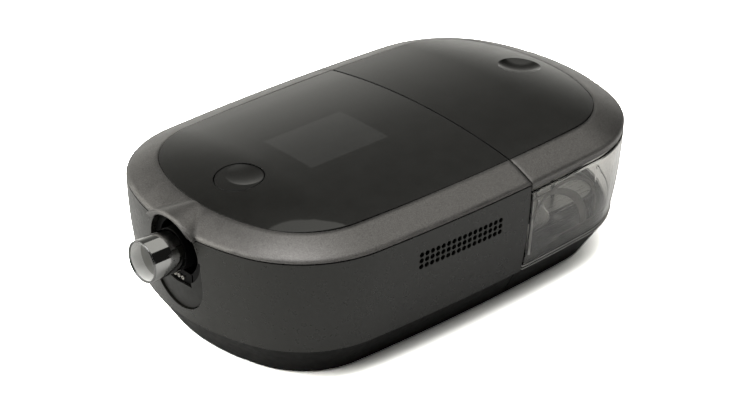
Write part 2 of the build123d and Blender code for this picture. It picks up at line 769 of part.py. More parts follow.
def power_board():
    x0, x1 = power_board_x - power_board_length / 2, power_board_x + power_board_length / 2
    half = power_board_width / 2
    return block(x0, x1, -half, half, power_board_z, power_board_z + board_thickness)


def power_capacitors():
    low_z = power_board_z + board_thickness
    top_z, small_top_z = low_z + capacitor_height, low_z + small_capacitor_height
    rows = [capacitor_y + i * capacitor_pitch for i in range(capacitor_count)]
    cans = [rod_z(capacitor_x, y, low_z, top_z, capacitor_radius) for y in rows]
    return cans + [rod_z(capacitor_x, small_capacitor_y, low_z, small_top_z, small_capacitor_radius)]


def jack_face_y():
    return half_width - wall_inset(jack_z) - jack_sunk


def jack_block(grow, y0, y1):
    half_x, half_z = jack_width / 2 + grow, jack_height / 2 + grow
    return block(jack_x - half_x, jack_x + half_x, y0, y1, jack_z - half_z, jack_z + half_z)


def power_jack():
    face_y = jack_face_y()
    guide_y, back_y = face_y - jack_clear, face_y - jack_bore_depth
    flange_y = face_y + jack_sunk - wall - 2 * slip
    flange = jack_block(jack_flange_width, flange_y - jack_flange, flange_y)
    flange &= wall_fill(crease_z, seam_z - 1, wall + socket_gap)
    body = jack_block(-socket_gap, face_y - jack_depth, face_y) + flange
    body -= rod_y(jack_x, back_y, guide_y, jack_z, jack_bore + jack_relief)
    return body - rod_y(jack_x, guide_y - 0.1, big, jack_z, jack_bore)


def jack_contact():
    face_y = jack_face_y()
    tip_y = face_y - jack_clear - jack_pin_gap
    return rod_y(jack_x, face_y - jack_bore_depth, tip_y, jack_z, jack_pin)


# ---- blower ----------------------------------------------------------------------------
def blower_rod(z0, z1, radius):
    """Rod on the blower's axis."""
    return rod_z(blower_x, blower_y, z0, z1, radius)


def blower_ears(z0, z1):
    """Screw ears outside the round case."""
    inside = blower_rod(0, big, blower_radius - blower_wall / 2)
    hole = screw_radius + screw_clear
    return union(
        rod_z(x, y, z0, z1, ear_radius) - rod_z(x, y, 0, big, hole) - inside
        for x, y in around_blower(ear_orbit, ear_count, ear_start)
    )


def nozzle(radius):
    return rod_x(blower_x, nozzle_end_x, supply_y, duct_z, radius)


def stator_low_z():
    return blower_floor_z + blower_wall + bearing_height + stator_lift


def deck_z():
    """Top of the stator, where the motor cover sits under the impeller."""
    return stator_low_z() + stator_height


def blower_lower_case():
    floor_z = blower_floor_z + blower_wall
    cup = blower_rod(blower_floor_z, blower_split_z, blower_radius)
    cup -= blower_rod(floor_z, big, blower_radius - blower_wall)
    seat = blower_rod(blower_floor_z, floor_z + bearing_height, bearing_radius + bearing_seat)
    seat -= blower_rod(floor_z, big, bearing_radius)
    bed = blower_rod(blower_floor_z, stator_low_z(), stator_radius)
    bed -= blower_rod(0, big, stator_radius - stator_yoke)
    ears = blower_ears(blower_split_z - ear_low, blower_split_z)
    return cup + seat + bed + ears - nozzle(duct_radius + slip)


def blower_upper_case():
    body = blower_rod(blower_split_z, blower_top_z, blower_radius)
    body -= blower_rod(0, blower_top_z - blower_wall, blower_radius - blower_wall)
    body += nozzle(duct_radius) - blower_rod(0, big, blower_radius - blower_wall / 2)
    body += blower_rod(blower_top_z - 0.5, blower_top_z + inlet_lip_height, blower_inlet_radius + inlet_lip)
    body -= blower_rod(0, big, blower_inlet_radius)
    body += blower_ears(blower_split_z, blower_split_z + ear_high)
    return body - nozzle(duct_bore)


def case_screws():
    top = blower_split_z + ear_high
    return [
        rod_z(x, y, top, top + screw_head_height, screw_head_radius)
        + rod_z(x, y, top - case_screw_length, top + 0.1, screw_radius)
        for x, y in around_blower(ear_orbit, ear_count, ear_start)
    ]


def motor_cover():
    """Plate over the stator that carries the upper bearing."""
    z = deck_z()
    plate = blower_rod(z, z + cover_thickness, blower_radius - blower_wall - slip)
    plate += blower_rod(z, bearing_levels()[1] + bearing_height, bearing_radius + cover_seat)
    plate -= blower_rod(bearing_levels()[1], big, bearing_radius)
    return plate - blower_rod(0, big, bearing_radius - stator_lift)


def blower_mounts():
    low = blower_floor_z - mount_height
    return [rod_z(x, y, low, blower_floor_z, mount_radius) for x, y in blower_mount_places()]


def bearing_levels():
    return blower_floor_z + blower_wall, deck_z() + 0.2


def rotor_bearings():
    hole = blower_rod(0, big, shaft_radius + bearing_fit)
    return [blower_rod(z, z + bearing_height, bearing_radius) - hole for z in bearing_levels()]


def impeller_low_z():
    return bearing_levels()[1] + bearing_height + impeller_lift


def rotor_shaft():
    low_z = blower_floor_z + blower_wall + shaft_end_gap
    return blower_rod(low_z, impeller_low_z() + hub_height, shaft_radius)


def rotor_magnet():
    low, high = stator_low_z() + magnet_margin, deck_z() - magnet_margin
    return blower_rod(low, high, magnet_radius) - blower_rod(0, big, shaft_radius)


def around_stator(shape):
    """One copy for each coil, from a shape drawn along +X about the axis."""
    return [Pos(blower_x, blower_y, 0) * Rot(0, 0, i * 360 / coil_count) * shape for i in range(coil_count)]


def stator_core():
    inner, ring_radius = magnet_radius + stator_gap, stator_radius - stator_yoke
    low, high = stator_low_z(), deck_z()
    tooth = block(inner, ring_radius + stator_yoke / 2, -tooth_half, tooth_half,
                  low + coil_height, high - coil_height)
    core = blower_rod(low, high, stator_radius) - blower_rod(low - 1, high + 1, ring_radius)
    return core + union(around_stator(tooth)) - blower_rod(0, big, inner)


def stator_coils():
    """Windings around the teeth of the core."""
    inner = magnet_radius + stator_gap + coil_start
    outer = stator_radius - stator_yoke - coil_gap
    low, high = stator_low_z(), deck_z()
    half = tooth_half + coil_side
    coil = block(inner, outer, -half, half, low + coil_face_gap, high - coil_face_gap)
    coil -= block(0, big, -tooth_half, tooth_half, low + coil_height, high - coil_height)
    return around_stator(coil)


def impeller():
    """Backward-curved wheel, drawn on its own axis."""
    up = (Align.CENTER, Align.CENTER, Align.MIN)
    wheel = Cylinder(impeller_radius, wheel_thickness, align=up)
    wheel += Cylinder(shaft_radius + hub_width, hub_height, align=up)
    arc = ThreePointArc((blade_root, 0), (blade_mid_x, blade_mid_y), (impeller_radius - 1, blade_tip_y))
    blade = thicken_arc(arc, blade_thickness, blade_height)
    for i in range(blade_count):
        wheel += Rot(0, 0, i * 360 / blade_count) * blade
    wheel -= Cylinder(shaft_radius, big)
    return Pos(blower_x, blower_y, impeller_low_z()) * wheel


def thicken_arc(arc, thickness, height):
    """Thin upright vane along an arc."""
    near = [arc @ 0, arc @ 0.5, arc @ 1]
    far = [Vector(p.X, p.Y + thickness, 0) for p in near]
    outer = ThreePointArc(*near)
    inner = ThreePointArc(*reversed(far))
    face = make_face([outer, Line(outer @ 1, inner @ 0), inner, Line(inner @ 1, outer @ 0)])
    return slab_z(face, wheel_thickness / 2, height)


# ---- ducts -----------------------------------------------------------------------------
def supply_duct():
    end_x = blower_end_x - duct_joint - 0.2
    return pipe_x(nozzle_end_x, end_x, supply_y, duct_z, duct_radius, duct_bore)


def return_path():
    """Centre line of the return duct: straight, then an even S over to the outlet tube."""
    start = Vector(blower_end_x - duct_joint - 0.2, return_y, duct_z)
    across = Vector(0, -return_y, port_z - duct_z)
    bend = across.length / 2
    side = across.normalized() * bend
    end = Vector(cup_back_x + tube_flange, 0, port_z)
    turn = Vector(end.X + 2 * bend, return_y, duct_z)
    middle = turn + Vector(-bend, 0, 0) + side
    first = bend_arc(turn + side, turn, middle, bend)
    second = bend_arc(end - side, middle, end, bend)
    return Wire([Line(start, turn), first, second])


def bend_arc(center, foot, tip, radius):
    """Quarter bend from foot to tip about a centre."""
    half = ((foot - center) + (tip - center)).normalized() * radius
    return ThreePointArc(foot, center + half, tip)


def return_duct():
    path = return_path()
    plane = Plane(origin=path @ 0, z_dir=path % 0)
    return sweep(plane * Circle(duct_radius), path=path) - sweep(plane * Circle(duct_bore), path=path)


def flow_sensor():
    half, low_z = sensor_width / 2, duct_z + duct_radius - sensor_sunk
    body = block(sensor_x, sensor_x + sensor_length, return_y - half, return_y + half,
                 low_z, low_z + sensor_height)
    return body - rod_x(-big, big, return_y, duct_z, duct_radius + 0.05)


def port_seals():
    low_x, high_x = blower_end_x - seal_height / 2, tank_end_x - rail_gap
    outer, inner = duct_radius + seal_out, duct_radius - seal_in
    return [pipe_x(low_x, high_x, y, duct_z, outer, inner) for y in (supply_y, return_y)]


# ---- filter drawer ---------------------------------------------------------------------
def filter_back_y():
    return half_width - filter_depth


def drawer_box(grow, y0, y1):
    """Box around the tray's own outline, larger by grow in width and height."""
    half = filter_length / 2 - tray_margin + grow
    low_z, high_z = filter_low_z + tray_margin - grow, filter_high_z - tray_margin + grow
    return block(filter_x - half, filter_x + half, y0, y1, low_z, high_z)


def filter_bay():
    """Fixed box that the filter tray slides in."""
    out = bay_gap + tray_wall
    inner = drawer_box(bay_gap, filter_back_y() - bay_gap, big)
    outer = drawer_box(out, filter_back_y() - out, big) & wall_fill(crease_z, seam_z - 1, wall + slip / 2)
    return outer - inner - drawer_box(-bay_rim, 0, filter_back_y())


def filter_cover():
    """Outer skin of the drawer, with its row of air slots."""
    skin = wall_band(filter_low_z, filter_high_z, 0, wall) & filter_window(0)
    span = filter_high_z - filter_low_z - 2 * filter_slot_margin_z
    half = filter_length / 2 - filter_slot_margin_x
    for i in range(filter_slot_count):
        low_z = filter_low_z + filter_slot_margin_z + i * span / (filter_slot_count - 1) - filter_slot / 2
        skin -= block(filter_x - half, filter_x + half, 0, big, low_z, low_z + filter_slot)
    return skin


def filter_tray():
    back_y = filter_back_y()
    frame = drawer_box(0, back_y, big) & wall_fill(crease_z, seam_z - 1, wall)
    return frame - drawer_box(-tray_wall, back_y + tray_wall, big) - drawer_box(-tray_rim, 0, big)


def filter_pad():
    start = filter_back_y() + tray_wall
    return drawer_box(-tray_wall, start, start + pad_thickness)


def muffler_foam():
    """Sound foam on the base floor beside the blower."""
    half_x, half_y = foam_length / 2, foam_width / 2
    return block(foam_x - half_x, foam_x + half_x, foam_y - half_y, foam_y + half_y,
                 floor_top_z, floor_top_z + foam_height)


# ---- therapy button --------------------------------------------------------------------
def button_levels():
    """Collar end, flange and switch levels under the panel."""
    collar_z = crown_z(button_x, 0) - button_collar
    return collar_z, collar_z - panel_underlap - button_flange


def therapy_button():
    collar_z, flange_z = button_levels()
    hollow_radius = button_radius - button_wall
    cap = rod_z(button_x, 0, flange_z, crown_top_z + 2, button_radius) & crown(socket_gap)
    dish_curve = (button_dish_radius**2 + button_dish**2) / (2 * button_dish)
    dish_center_z = crown_z(button_x, 0) - socket_gap - button_dish + dish_curve
    cap -= Pos(button_x, 0, dish_center_z) * Sphere(dish_curve)
    cap -= rod_z(button_x, 0, 0, collar_z + 1, hollow_radius)
    flange = rod_z(button_x, 0, flange_z, flange_z + button_flange, button_radius + button_flange_width)
    flange -= rod_z(button_x, 0, 0, big, hollow_radius)
    stem = rod_z(button_x, 0, plunger_top_z() + button_travel + slip, collar_z + 2, button_stem)
    return cap + flange + stem


def plunger_top_z():
    return board_top_z + switch_height + switch_stroke


def button_switch():
    half = switch_width / 2
    body = block(button_x - half, button_x + half, -half, half, board_top_z, board_top_z + switch_height)
    return body + rod_z(button_x, 0, board_top_z + switch_height / 2, plunger_top_z(), plunger_radius)


def button_dome():
    """Silicone ring that lifts the button."""
    _, flange_z = button_levels()
    ring = rod_z(button_x, 0, board_top_z, flange_z, button_radius + dome_out)
    return ring - rod_z(button_x, 0, 0, big, button_radius - dome_in)


# ---- humidifier base and heater --------------------------------------------------------
def rounded(length, width, corner):
    """Rounded outline about the middle of the heater."""
    return Pos(heater_x, 0) * RectangleRounded(length, width, corner)


def humidifier_base():
    tank_side = base_fill(foot_height, crease_z) - left_of_slant(slant_gap / 2)
    hollow = base_fill(floor_top_z, deck_top_z - deck_thickness, base_wall)
    base = tank_side - (hollow - left_of_slant(slant_gap / 2 + wall))
    well = rounded(heater_length + heater_gap, heater_width + heater_gap, heater_corner)
    base -= slab_z(well, insulator_low_z() - 1, big)
    half, rail_top_z = rail_width / 2, deck_top_z + rail_height
    for y in (-rail_y, rail_y):
        base += block(rail_start_x, rail_end_x, y - half, y + half, deck_top_z - 0.5, rail_top_z)
    for x, y in heater_posts():
        base += rod_z(x, y, floor_top_z - 0.5, insulator_low_z(), heater_post_radius)
        base -= rod_z(x, y, floor_top_z + 2, big, screw_radius + screw_clear)
    return base - union(foot_pockets())


def insulator_low_z():
    return deck_top_z + heater_proud - heater_thickness - insulator_thickness


def heater_posts():
    ends = (heater_x - heater_post_x, heater_x + heater_post_x)
    return [(x, side * heater_post_y) for x in ends for side in (-1, 1)]


def heater_plate():
    top = deck_top_z + heater_proud
    return slab_z(rounded(heater_length, heater_width, heater_corner), top - heater_thickness, top)


def heater_insulator():
    low = insulator_low_z()
    pad = slab_z(rounded(heater_length, heater_width, heater_corner), low, low + insulator_thickness)
    for x, y in heater_posts():
        pad -= rod_z(x, y, 0, big, screw_radius + screw_clear)
        pad -= rod_z(x, y, low + insulator_seat, big, screw_head_radius + screw_clear)
    return pad


def heater_screws():
    low = insulator_low_z() + insulator_seat
    return [
        rod_z(x, y, low, low + screw_head_height, screw_head_radius)
        + rod_z(x, y, floor_top_z + 3, low + 0.1, screw_radius)
        for x, y in heater_posts()
    ]


# ---- water tank ------------------------------------------------------------------------
def hinge_rod(radius, half):
    return rod_y(hinge_x, -half, half, hinge_z, radius)


def hinge_notch():
    """Part of the tank rim that the lid's corner sweeps through."""
    half = hinge_notch_half
    past = block(hinge_x, big, -half, half, hinge_z - hinge_sweep, big)
    return rod_y(hinge_x, -half, half, hinge_z, hinge_sweep) + past


def tank_lugs():
    """Two ears on the tank that carry the hinge pin."""
    lugs = []
    for side in (-1, 1):
        y0, y1 = sorted((side * (hinge_knuckle_half + hinge_clear), side * hinge_half))
        eye = rod_y(hinge_x, y0, y1, hinge_z, hinge_lug_radius)
        arm = Rot(0, lug_lean, 0) * block(-lug_arm / 2, lug_arm / 2, y0, y1, -lug_arm_length, 0)
        lugs += [eye, Pos(hinge_x, 0, hinge_z) * arm]
    return union(lugs)


def tank_bucket():
    outer = wall_fill(tank_low_z, tank_rim_z) & above_x(tank_end_x)
    inner = wall_fill(tank_low_z + tank_floor, tank_rim_z, tank_wall) & above_x(tank_end_x + tank_wall)
    rim_face = tank_outline(wall_inset(tank_rim_z) + 0.2) - tank_outline(tank_rim_width)
    tank = outer - inner + slab_z(rim_face, tank_rim_z - tank_rim_thickness, tank_rim_z)
    for y in (supply_y, return_y):
        tank -= rod_x(0, tank_end_x + tank_wall + 1, y, duct_z, duct_bore)
    tank -= slab_z(gasket_face(), 0, tank_low_z + tank_floor + 1)
    groove_half, groove_top_z = rail_width / 2 + rail_gap, deck_top_z + rail_height + rail_gap
    for y in (-rail_y, rail_y):
        tank -= block(0, rail_end_x + 1, y - groove_half, y + groove_half, 0, groove_top_z)
    ledge_z = hinge_z - hinge_sweep - ledge_gap
    ledge = block(hinge_x - ledge_run, big, -hinge_half, hinge_half, ledge_z - ledge_rise, ledge_z)
    tank -= hinge_notch()
    tank += ledge & wall_fill(tank_low_z, tank_rim_z)
    tank += tank_lugs()
    return tank - hinge_rod(hinge_pin_radius, big)


def plate_face():
    """Outline of the metal plate in the tank's floor."""
    grow = 2 * tank_plate_margin
    return rounded(heater_length + grow, heater_width + grow, heater_corner)


def gasket_face():
    """Outline of the gasket around that plate."""
    grow = 2 * (tank_plate_margin + gasket_width)
    return rounded(heater_length + grow, heater_width + grow, heater_corner + gasket_corner)


def tank_base_plate():
    return slab_z(plate_face(), tank_low_z, tank_low_z + tank_plate_thickness)


def tank_plate_gasket():
    return slab_z(gasket_face() - plate_face(), tank_low_z, tank_low_z + tank_floor)


def horn(y):
    """Flared clear duct inside the tank, seated on the seam wall."""
    start = tank_end_x + tank_wall
    end, knee = start + horn_reach, start + horn_knee
    outer_start, outer_knee = duct_bore + horn_wall, duct_bore + horn_wall + horn_swell
    outer = ThreePointArc((start, outer_start), (knee, outer_knee), (end, horn_mouth))
    inner = ThreePointArc((end, horn_mouth - horn_wall), (knee, duct_bore + horn_swell), (start, duct_bore))
    face = make_face([outer, Line(outer @ 1, inner @ 0), inner, Line(inner @ 1, outer @ 0)])
    return Pos(0, y, duct_z) * revolve(face, Axis.X, 360)


def tank_inlet_horn():
    return horn(supply_y)


def tank_outlet_horn():
    under_rim = block(-big, big, -big, big, 0, tank_rim_z - tank_rim_thickness - 0.2)
    return horn(return_y) & under_rim


def tank_baffle():
    """Curved clear splash wall standing on the metal plate of the tank."""
    low, high = tank_low_z + tank_plate_thickness, tank_rim_z - baffle_drop
    start, sweep_angle = -baffle_half_angle, 2 * baffle_half_angle
    outer = CenterArc((0, 0), baffle_radius, start, sweep_angle)
    inner = CenterArc((0, 0), baffle_radius - baffle_wall, start, sweep_angle)
    face = make_face([outer, Line(outer @ 1, inner @ 1), inner, Line(inner @ 0, outer @ 0)])
    return slab_z(Pos(baffle_x, 0) * face, low, high)


def hinge_pin():
    return hinge_rod(hinge_pin_radius, hinge_half)


# ---- lid -------------------------------------------------------------------------------
def hinge_pocket():
    """Room in the lid around the tank lugs, all through its swing."""
    room = hinge_lug_radius + hinge_clear
    pocket = []
    for side in (-1, 1):
        y0, y1 = sorted((side * hinge_knuckle_half, side * (hinge_half + hinge_clear)))
        pocket.append(rod_y(hinge_x, y0, y1, hinge_z, room))
        pocket.append(block(hinge_x - room - 1, hinge_x + pocket_run, y0, y1, lid_low_z - 1, hinge_z))
    return union(pocket)


def lid_bezel():
    frame = bezel_ring(lid_top_low_z) & above_x(tank_end_x)
    return frame - hinge_pocket() - hinge_rod(hinge_pin_radius + hinge_fit, hinge_knuckle_half + 1)


def dimple_ball(grow):
    """Stretched ball whose lower cap is the finger dimple, or the boss under it."""
    radius = ((dimple_width / 2) ** 2 + dimple_depth**2) / (2 * dimple_depth)
    center_z = crown_z(dimple_x, 0) - dimple_depth + radius
    ball = scale(Sphere(radius + grow), by=(dimple_length / dimple_width, 1, 1))
    return Pos(dimple_x, 0, center_z) * ball


def lid_panel():
    body = panel_shell(panel_gap / 2) & above_x(tank_end_x)
    boss = dimple_ball(dimple_boss) & crown(1.0) & slab_z(outline(panel_inset + 1), seam_z, big)
    return body + boss - dimple_ball(0)


def lid_frame():
    lip = slab_z(outline(lip_inset), lid_low_z, lid_top_low_z)
    deck = slab_z(outline(wall + 1.0), lid_top_low_z - 0.2, lid_low_z + lid_frame_thickness)
    body = (lip + deck) & above_x(tank_end_x + 0.1)
    groove = tank_outline(lid_seal_inset - 0.1) - tank_outline(lid_seal_inset + lid_seal_width + 0.1)
    body -= slab_z(groove, 0, lid_low_z + lid_seal_bury)
    knuckle = rod_y(hinge_x, -hinge_knuckle_half, hinge_knuckle_half, hinge_z, hinge_lug_radius)
    body += knuckle & block(-big, big, -big, big, 0, lid_top_low_z)
    return body - hinge_pocket() - hinge_rod(hinge_pin_radius + hinge_fit, hinge_knuckle_half + 1)


def lid_seal():
    face = tank_outline(lid_seal_inset) - tank_outline(lid_seal_inset + lid_seal_width)
    return slab_z(face, tank_rim_z + 0.3, lid_low_z + lid_seal_bury)


nodes = {
    "main_housing": main_housing, "front_bezel": front_bezel, "front_panel": front_panel,
    "panel_carrier": panel_carrier, "main_board": main_board, "board_screws": board_screws,
    "board_chips": board_chips, "display_module": display_module, "outlet_cup": outlet_cup,
    "outlet_plate": outlet_plate, "outlet_tube": outlet_tube, "contact_block": contact_block,
    "tube_contacts": tube_contacts, "vent_mesh": vent_mesh, "blower_base": blower_base,
    "base_screws": base_screws, "rubber_feet": rubber_feet, "power_board": power_board,
    "power_capacitors": power_capacitors, "power_jack": power_jack, "jack_contact": jack_contact,
    "blower_lower_case": blower_lower_case, "blower_upper_case": blower_upper_case,
    "case_screws": case_screws, "motor_cover": motor_cover, "blower_mounts": blower_mounts,
    "rotor_bearings": rotor_bearings, "rotor_shaft": rotor_shaft, "rotor_magnet": rotor_magnet,
    "stator_core": stator_core, "stator_coils": stator_coils, "impeller": impeller,
    "supply_duct": supply_duct, "return_duct": return_duct, "flow_sensor": flow_sensor,
    "port_seals": port_seals, "filter_bay": filter_bay, "filter_cover": filter_cover,
    "filter_tray": filter_tray, "filter_pad": filter_pad, "muffler_foam": muffler_foam,
    "therapy_button": therapy_button, "button_switch": button_switch, "button_dome": button_dome,
    "humidifier_base": humidifier_base, "heater_plate": heater_plate,
    "heater_insulator": heater_insulator, "heater_screws": heater_screws,
    "tank_bucket": tank_bucket, "tank_base_plate": tank_base_plate,
    "tank_plate_gasket": tank_plate_gasket, "tank_inlet_horn": tank_inlet_horn,
    "tank_outlet_horn": tank_outlet_horn, "tank_baffle": tank_baffle, "hinge_pin": hinge_pin,
    "lid_bezel": lid_bezel, "lid_panel": lid_panel, "lid_frame": lid_frame, "lid_seal": lid_seal,
}

os.makedirs("parts", exist_ok=True)
for name, build in nodes.items():
    made = build()
    solids = [s for piece in (made if isinstance(made, list) else [made]) for s in piece.solids()]
    shifted = [Pos(port_reach / 2, 0, 0) * solid for solid in solids]
    export_step(Compound(children=shifted) if len(shifted) > 1 else shifted[0], f"parts/{name}.step")
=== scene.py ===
"""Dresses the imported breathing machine: its finishes, fine modelled pieces, studio and camera.

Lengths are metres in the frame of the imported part, +Z up and +X towards the water tank, unless
a name ends in _mm. Finishes measure their patterns in millimetres on the piece itself.
"""

from __future__ import annotations

import json
import logging
import math
from collections.abc import Callable, Sequence
from dataclasses import dataclass
from enum import Enum
from itertools import pairwise

import bpy
from mathutils import Matrix, Vector


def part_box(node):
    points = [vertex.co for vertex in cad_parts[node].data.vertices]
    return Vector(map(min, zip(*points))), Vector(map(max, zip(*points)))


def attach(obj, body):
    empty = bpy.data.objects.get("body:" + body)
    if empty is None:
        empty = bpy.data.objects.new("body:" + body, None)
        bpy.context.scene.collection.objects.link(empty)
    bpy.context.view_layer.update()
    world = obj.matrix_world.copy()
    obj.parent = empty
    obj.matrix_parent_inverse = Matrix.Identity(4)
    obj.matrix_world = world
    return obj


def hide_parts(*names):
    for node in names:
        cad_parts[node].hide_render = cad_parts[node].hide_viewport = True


Colour = tuple[float, float, float]
Mesh = bpy.types.Object
Socket = bpy.types.NodeSocket
Test = Callable[[Vector, Vector], bool]
Circle = tuple[float, float, float]    # middle x, middle z and radius, in millimetres

MM = 0.001
CLOSED_MM = 0.02    # radius so small that it closes a turned piece
# Near black that painted shade darkens a colour towards.
PAINTED_SHADE_DARK: Colour = (0.001, 0.001, 0.001)
SHADE_SAMPLES = 8
LOG = logging.getLogger("machine")

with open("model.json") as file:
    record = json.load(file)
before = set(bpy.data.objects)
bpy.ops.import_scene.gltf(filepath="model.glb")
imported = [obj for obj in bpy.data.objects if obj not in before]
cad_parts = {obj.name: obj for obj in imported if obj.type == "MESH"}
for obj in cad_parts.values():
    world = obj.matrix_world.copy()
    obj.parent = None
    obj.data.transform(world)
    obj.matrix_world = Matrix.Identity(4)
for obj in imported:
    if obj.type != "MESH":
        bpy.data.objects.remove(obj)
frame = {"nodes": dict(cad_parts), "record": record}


# ---- finishes -------------------------------------------------------------------------------
def shade(colour: Colour, share: float) -> Colour:
    """Colour made darker or lighter by a share."""
    return tuple(min(1.0, c * share) for c in colour)


class Board:
    """Node tree of one material, with short calls to add and join nodes."""

    def __init__(self, name: str, soft_mm: float = 0.0) -> None:
        """Start a material with a main shader.

        Args:
            name: Name of the material.
            soft_mm: Radius by which its edges look rounded.
        """
        self.material = bpy.data.materials.new(name)
        self.material.use_nodes = True
        self.tree = self.material.node_tree
        self.tree.nodes.clear()
        output = self.tree.nodes.new("ShaderNodeOutputMaterial")
        self.shader = self.add("ShaderNodeBsdfPrincipled")
        self.join(self.shader.outputs["BSDF"], output.inputs["Surface"])
        coordinates = self.add("ShaderNodeTexCoord")
        scale = self.add("ShaderNodeVectorMath", operation="SCALE")
        scale.inputs["Scale"].default_value = 1 / MM
        self.join(coordinates.outputs["Object"], scale.inputs[0])
        self.place_mm = scale.outputs["Vector"]
        if soft_mm:
            bevel = self.add("ShaderNodeBevel", Radius=soft_mm * MM)
            self.join(bevel.outputs["Normal"], self.shader.inputs["Normal"])

    def add(self, kind: str, **values: object) -> bpy.types.Node:
        """Add a node.

        Args:
            kind: Node type.
            **values: Node properties, or input values by their name with _ for a space.

        Returns:
            The new node.
        """
        node = self.tree.nodes.new(kind)
        for key, value in values.items():
            if hasattr(node, key):
                setattr(node, key, value)
            else:
                node.inputs[key.replace("_", " ")].default_value = value
        return node

    def join(self, source: Socket, target: Socket) -> None:
        """Link an output to an input."""
        self.tree.links.new(source, target)

    def noise(self, grain_mm: float, detail: float = 2.0, at: Socket | None = None) -> Socket:
        """Soft noise.

        Args:
            grain_mm: Size of one lump.
            detail: Octaves of finer noise.
            at: Place to read it at, instead of the place on the piece.

        Returns:
            The factor output.
        """
        node = self.add("ShaderNodeTexNoise", Scale=1 / grain_mm, Detail=detail)
        self.join(at or self.place_mm, node.inputs["Vector"])
        return node.outputs["Fac"]

    def cells(self, size_mm: float) -> bpy.types.Node:
        """Voronoi cells of a size.

        Args:
            size_mm: Size of one cell.

        Returns:
            The Voronoi node.
        """
        node = self.add("ShaderNodeTexVoronoi", Scale=1 / size_mm)
        self.join(self.place_mm, node.inputs["Vector"])
        return node

    def spread(
        self, factor: Socket, low: float, high: float, start: float = 0.3, end: float = 0.7
    ) -> Socket:
        """Map the middle of a noise to a range.

        Args:
            factor: Value to map.
            low: Result at start.
            high: Result at end.
            start: Value that gives low.
            end: Value that gives high.

        Returns:
            The mapped value.
        """
        node = self.add("ShaderNodeMapRange")
        limits = {"From Min": start, "From Max": end, "To Min": low, "To Max": high}
        for key, value in limits.items():
            node.inputs[key].default_value = value
        self.join(factor, node.inputs["Value"])
        return node.outputs["Result"]

    def tint(self, factor: Socket, low: Colour | Socket, high: Colour | Socket) -> Socket:
        """Blend two colours, each fixed or from a node, by a factor between 0 and 1.

        Args:
            factor: Share of the second colour.
            low: First colour.
            high: Second colour.

        Returns:
            The blended colour.
        """
        node = self.add("ShaderNodeMix", data_type="RGBA")
        for socket, colour in zip([s for s in node.inputs if s.type == "RGBA"], (low, high)):
            if isinstance(colour, tuple):
                socket.default_value = (*colour, 1)
            else:
                self.join(colour, socket)
        self.join(factor, node.inputs["Factor"])
        return next(s for s in node.outputs if s.type == "RGBA")

    def maths(self, operation: str, first: Socket, second: Socket | float) -> Socket:
        """Work out one value from two.

        Args:
            operation: Kind of sum.
            first: First value.
            second: Second value, from a node or fixed.

        Returns:
            The result.
        """
        node = self.add("ShaderNodeMath", operation=operation)
        self.join(first, node.inputs[0])
        if isinstance(second, float):
            node.inputs[1].default_value = second
        else:
            self.join(second, node.inputs[1])
        return node.outputs["Value"]

    def bump(self, height: Socket, depth_mm: float, strength: float = 1.0) -> None:
        """Raise the surface by a height between 0 and 1 times depth_mm.

        Args:
            height: Height between 0 and 1.
            depth_mm: How far a height of 1 reaches.
            strength: Share of the effect that shows.
        """
        node = self.add("ShaderNodeBump", Strength=strength, Distance=depth_mm * MM)
        self.join(height, node.inputs["Height"])
        normal = self.shader.inputs["Normal"]
        if normal.is_linked:
            self.join(normal.links[0].from_socket, node.inputs["Normal"])
        self.join(node.outputs["Normal"], normal)

    def painted_gap_shade(self, reach_mm: float) -> Socket:
        """Share of the colour kept under painted shade: falls from 1 to 0 inside narrow gaps, where
        ambient occlusion finds another surface close.

        Args:
            reach_mm: How close another surface has to be.

        Returns:
            The share.
        """
        # Ambient occlusion finds where shade falls in a gap, and the colour is darkened there as
        # painted shade.
        node = self.add("ShaderNodeAmbientOcclusion", samples=SHADE_SAMPLES, Distance=reach_mm * MM)
        return self.spread(node.outputs["AO"], 0.0, 1.0, 0.4, 0.8)

    def rim(self, reach_mm: float) -> Socket:
        """Share that falls from 1 to 0 along sharp edges, out to a distance, for a painted shadow
        line at joints and edges.

        Args:
            reach_mm: The distance.

        Returns:
            The share.
        """
        # Where the rounded normal turns away from the true one, the colour is darkened as a painted
        # shadow line.
        rounded = self.add("ShaderNodeBevel", samples=SHADE_SAMPLES, Radius=reach_mm * MM)
        plain = self.add("ShaderNodeNewGeometry")
        facing = self.add("ShaderNodeVectorMath", operation="DOT_PRODUCT")
        self.join(rounded.outputs["Normal"], facing.inputs[0])
        self.join(plain.outputs["Normal"], facing.inputs[1])
        return self.spread(facing.outputs["Value"], 0.0, 1.0, 0.90, 0.97)

    def fade(self, share: Socket) -> None:
        """Keep a share of the base colour, between 0 and 1, and darken the rest towards near black as
        painted shade.
        """
        self.colour(self.tint(share, PAINTED_SHADE_DARK, self.base()))

    def base(self) -> Socket:
        """Output that feeds the main shader's base colour."""
        return self.shader.inputs["Base Color"].links[0].from_socket

    def set(self, **values: object) -> None:
        """Set constants on the main shader."""
        for key, value in values.items():
            self.shader.inputs[key.replace("_", " ")].default_value = value

    def colour(self, source: Socket) -> None:
        """Feed the main shader's base colour."""
        self.join(source, self.shader.inputs["Base Color"])

    def roughness(self, source: Socket) -> None:
        """Feed the main shader's roughness."""
        self.join(source, self.shader.inputs["Roughness"])


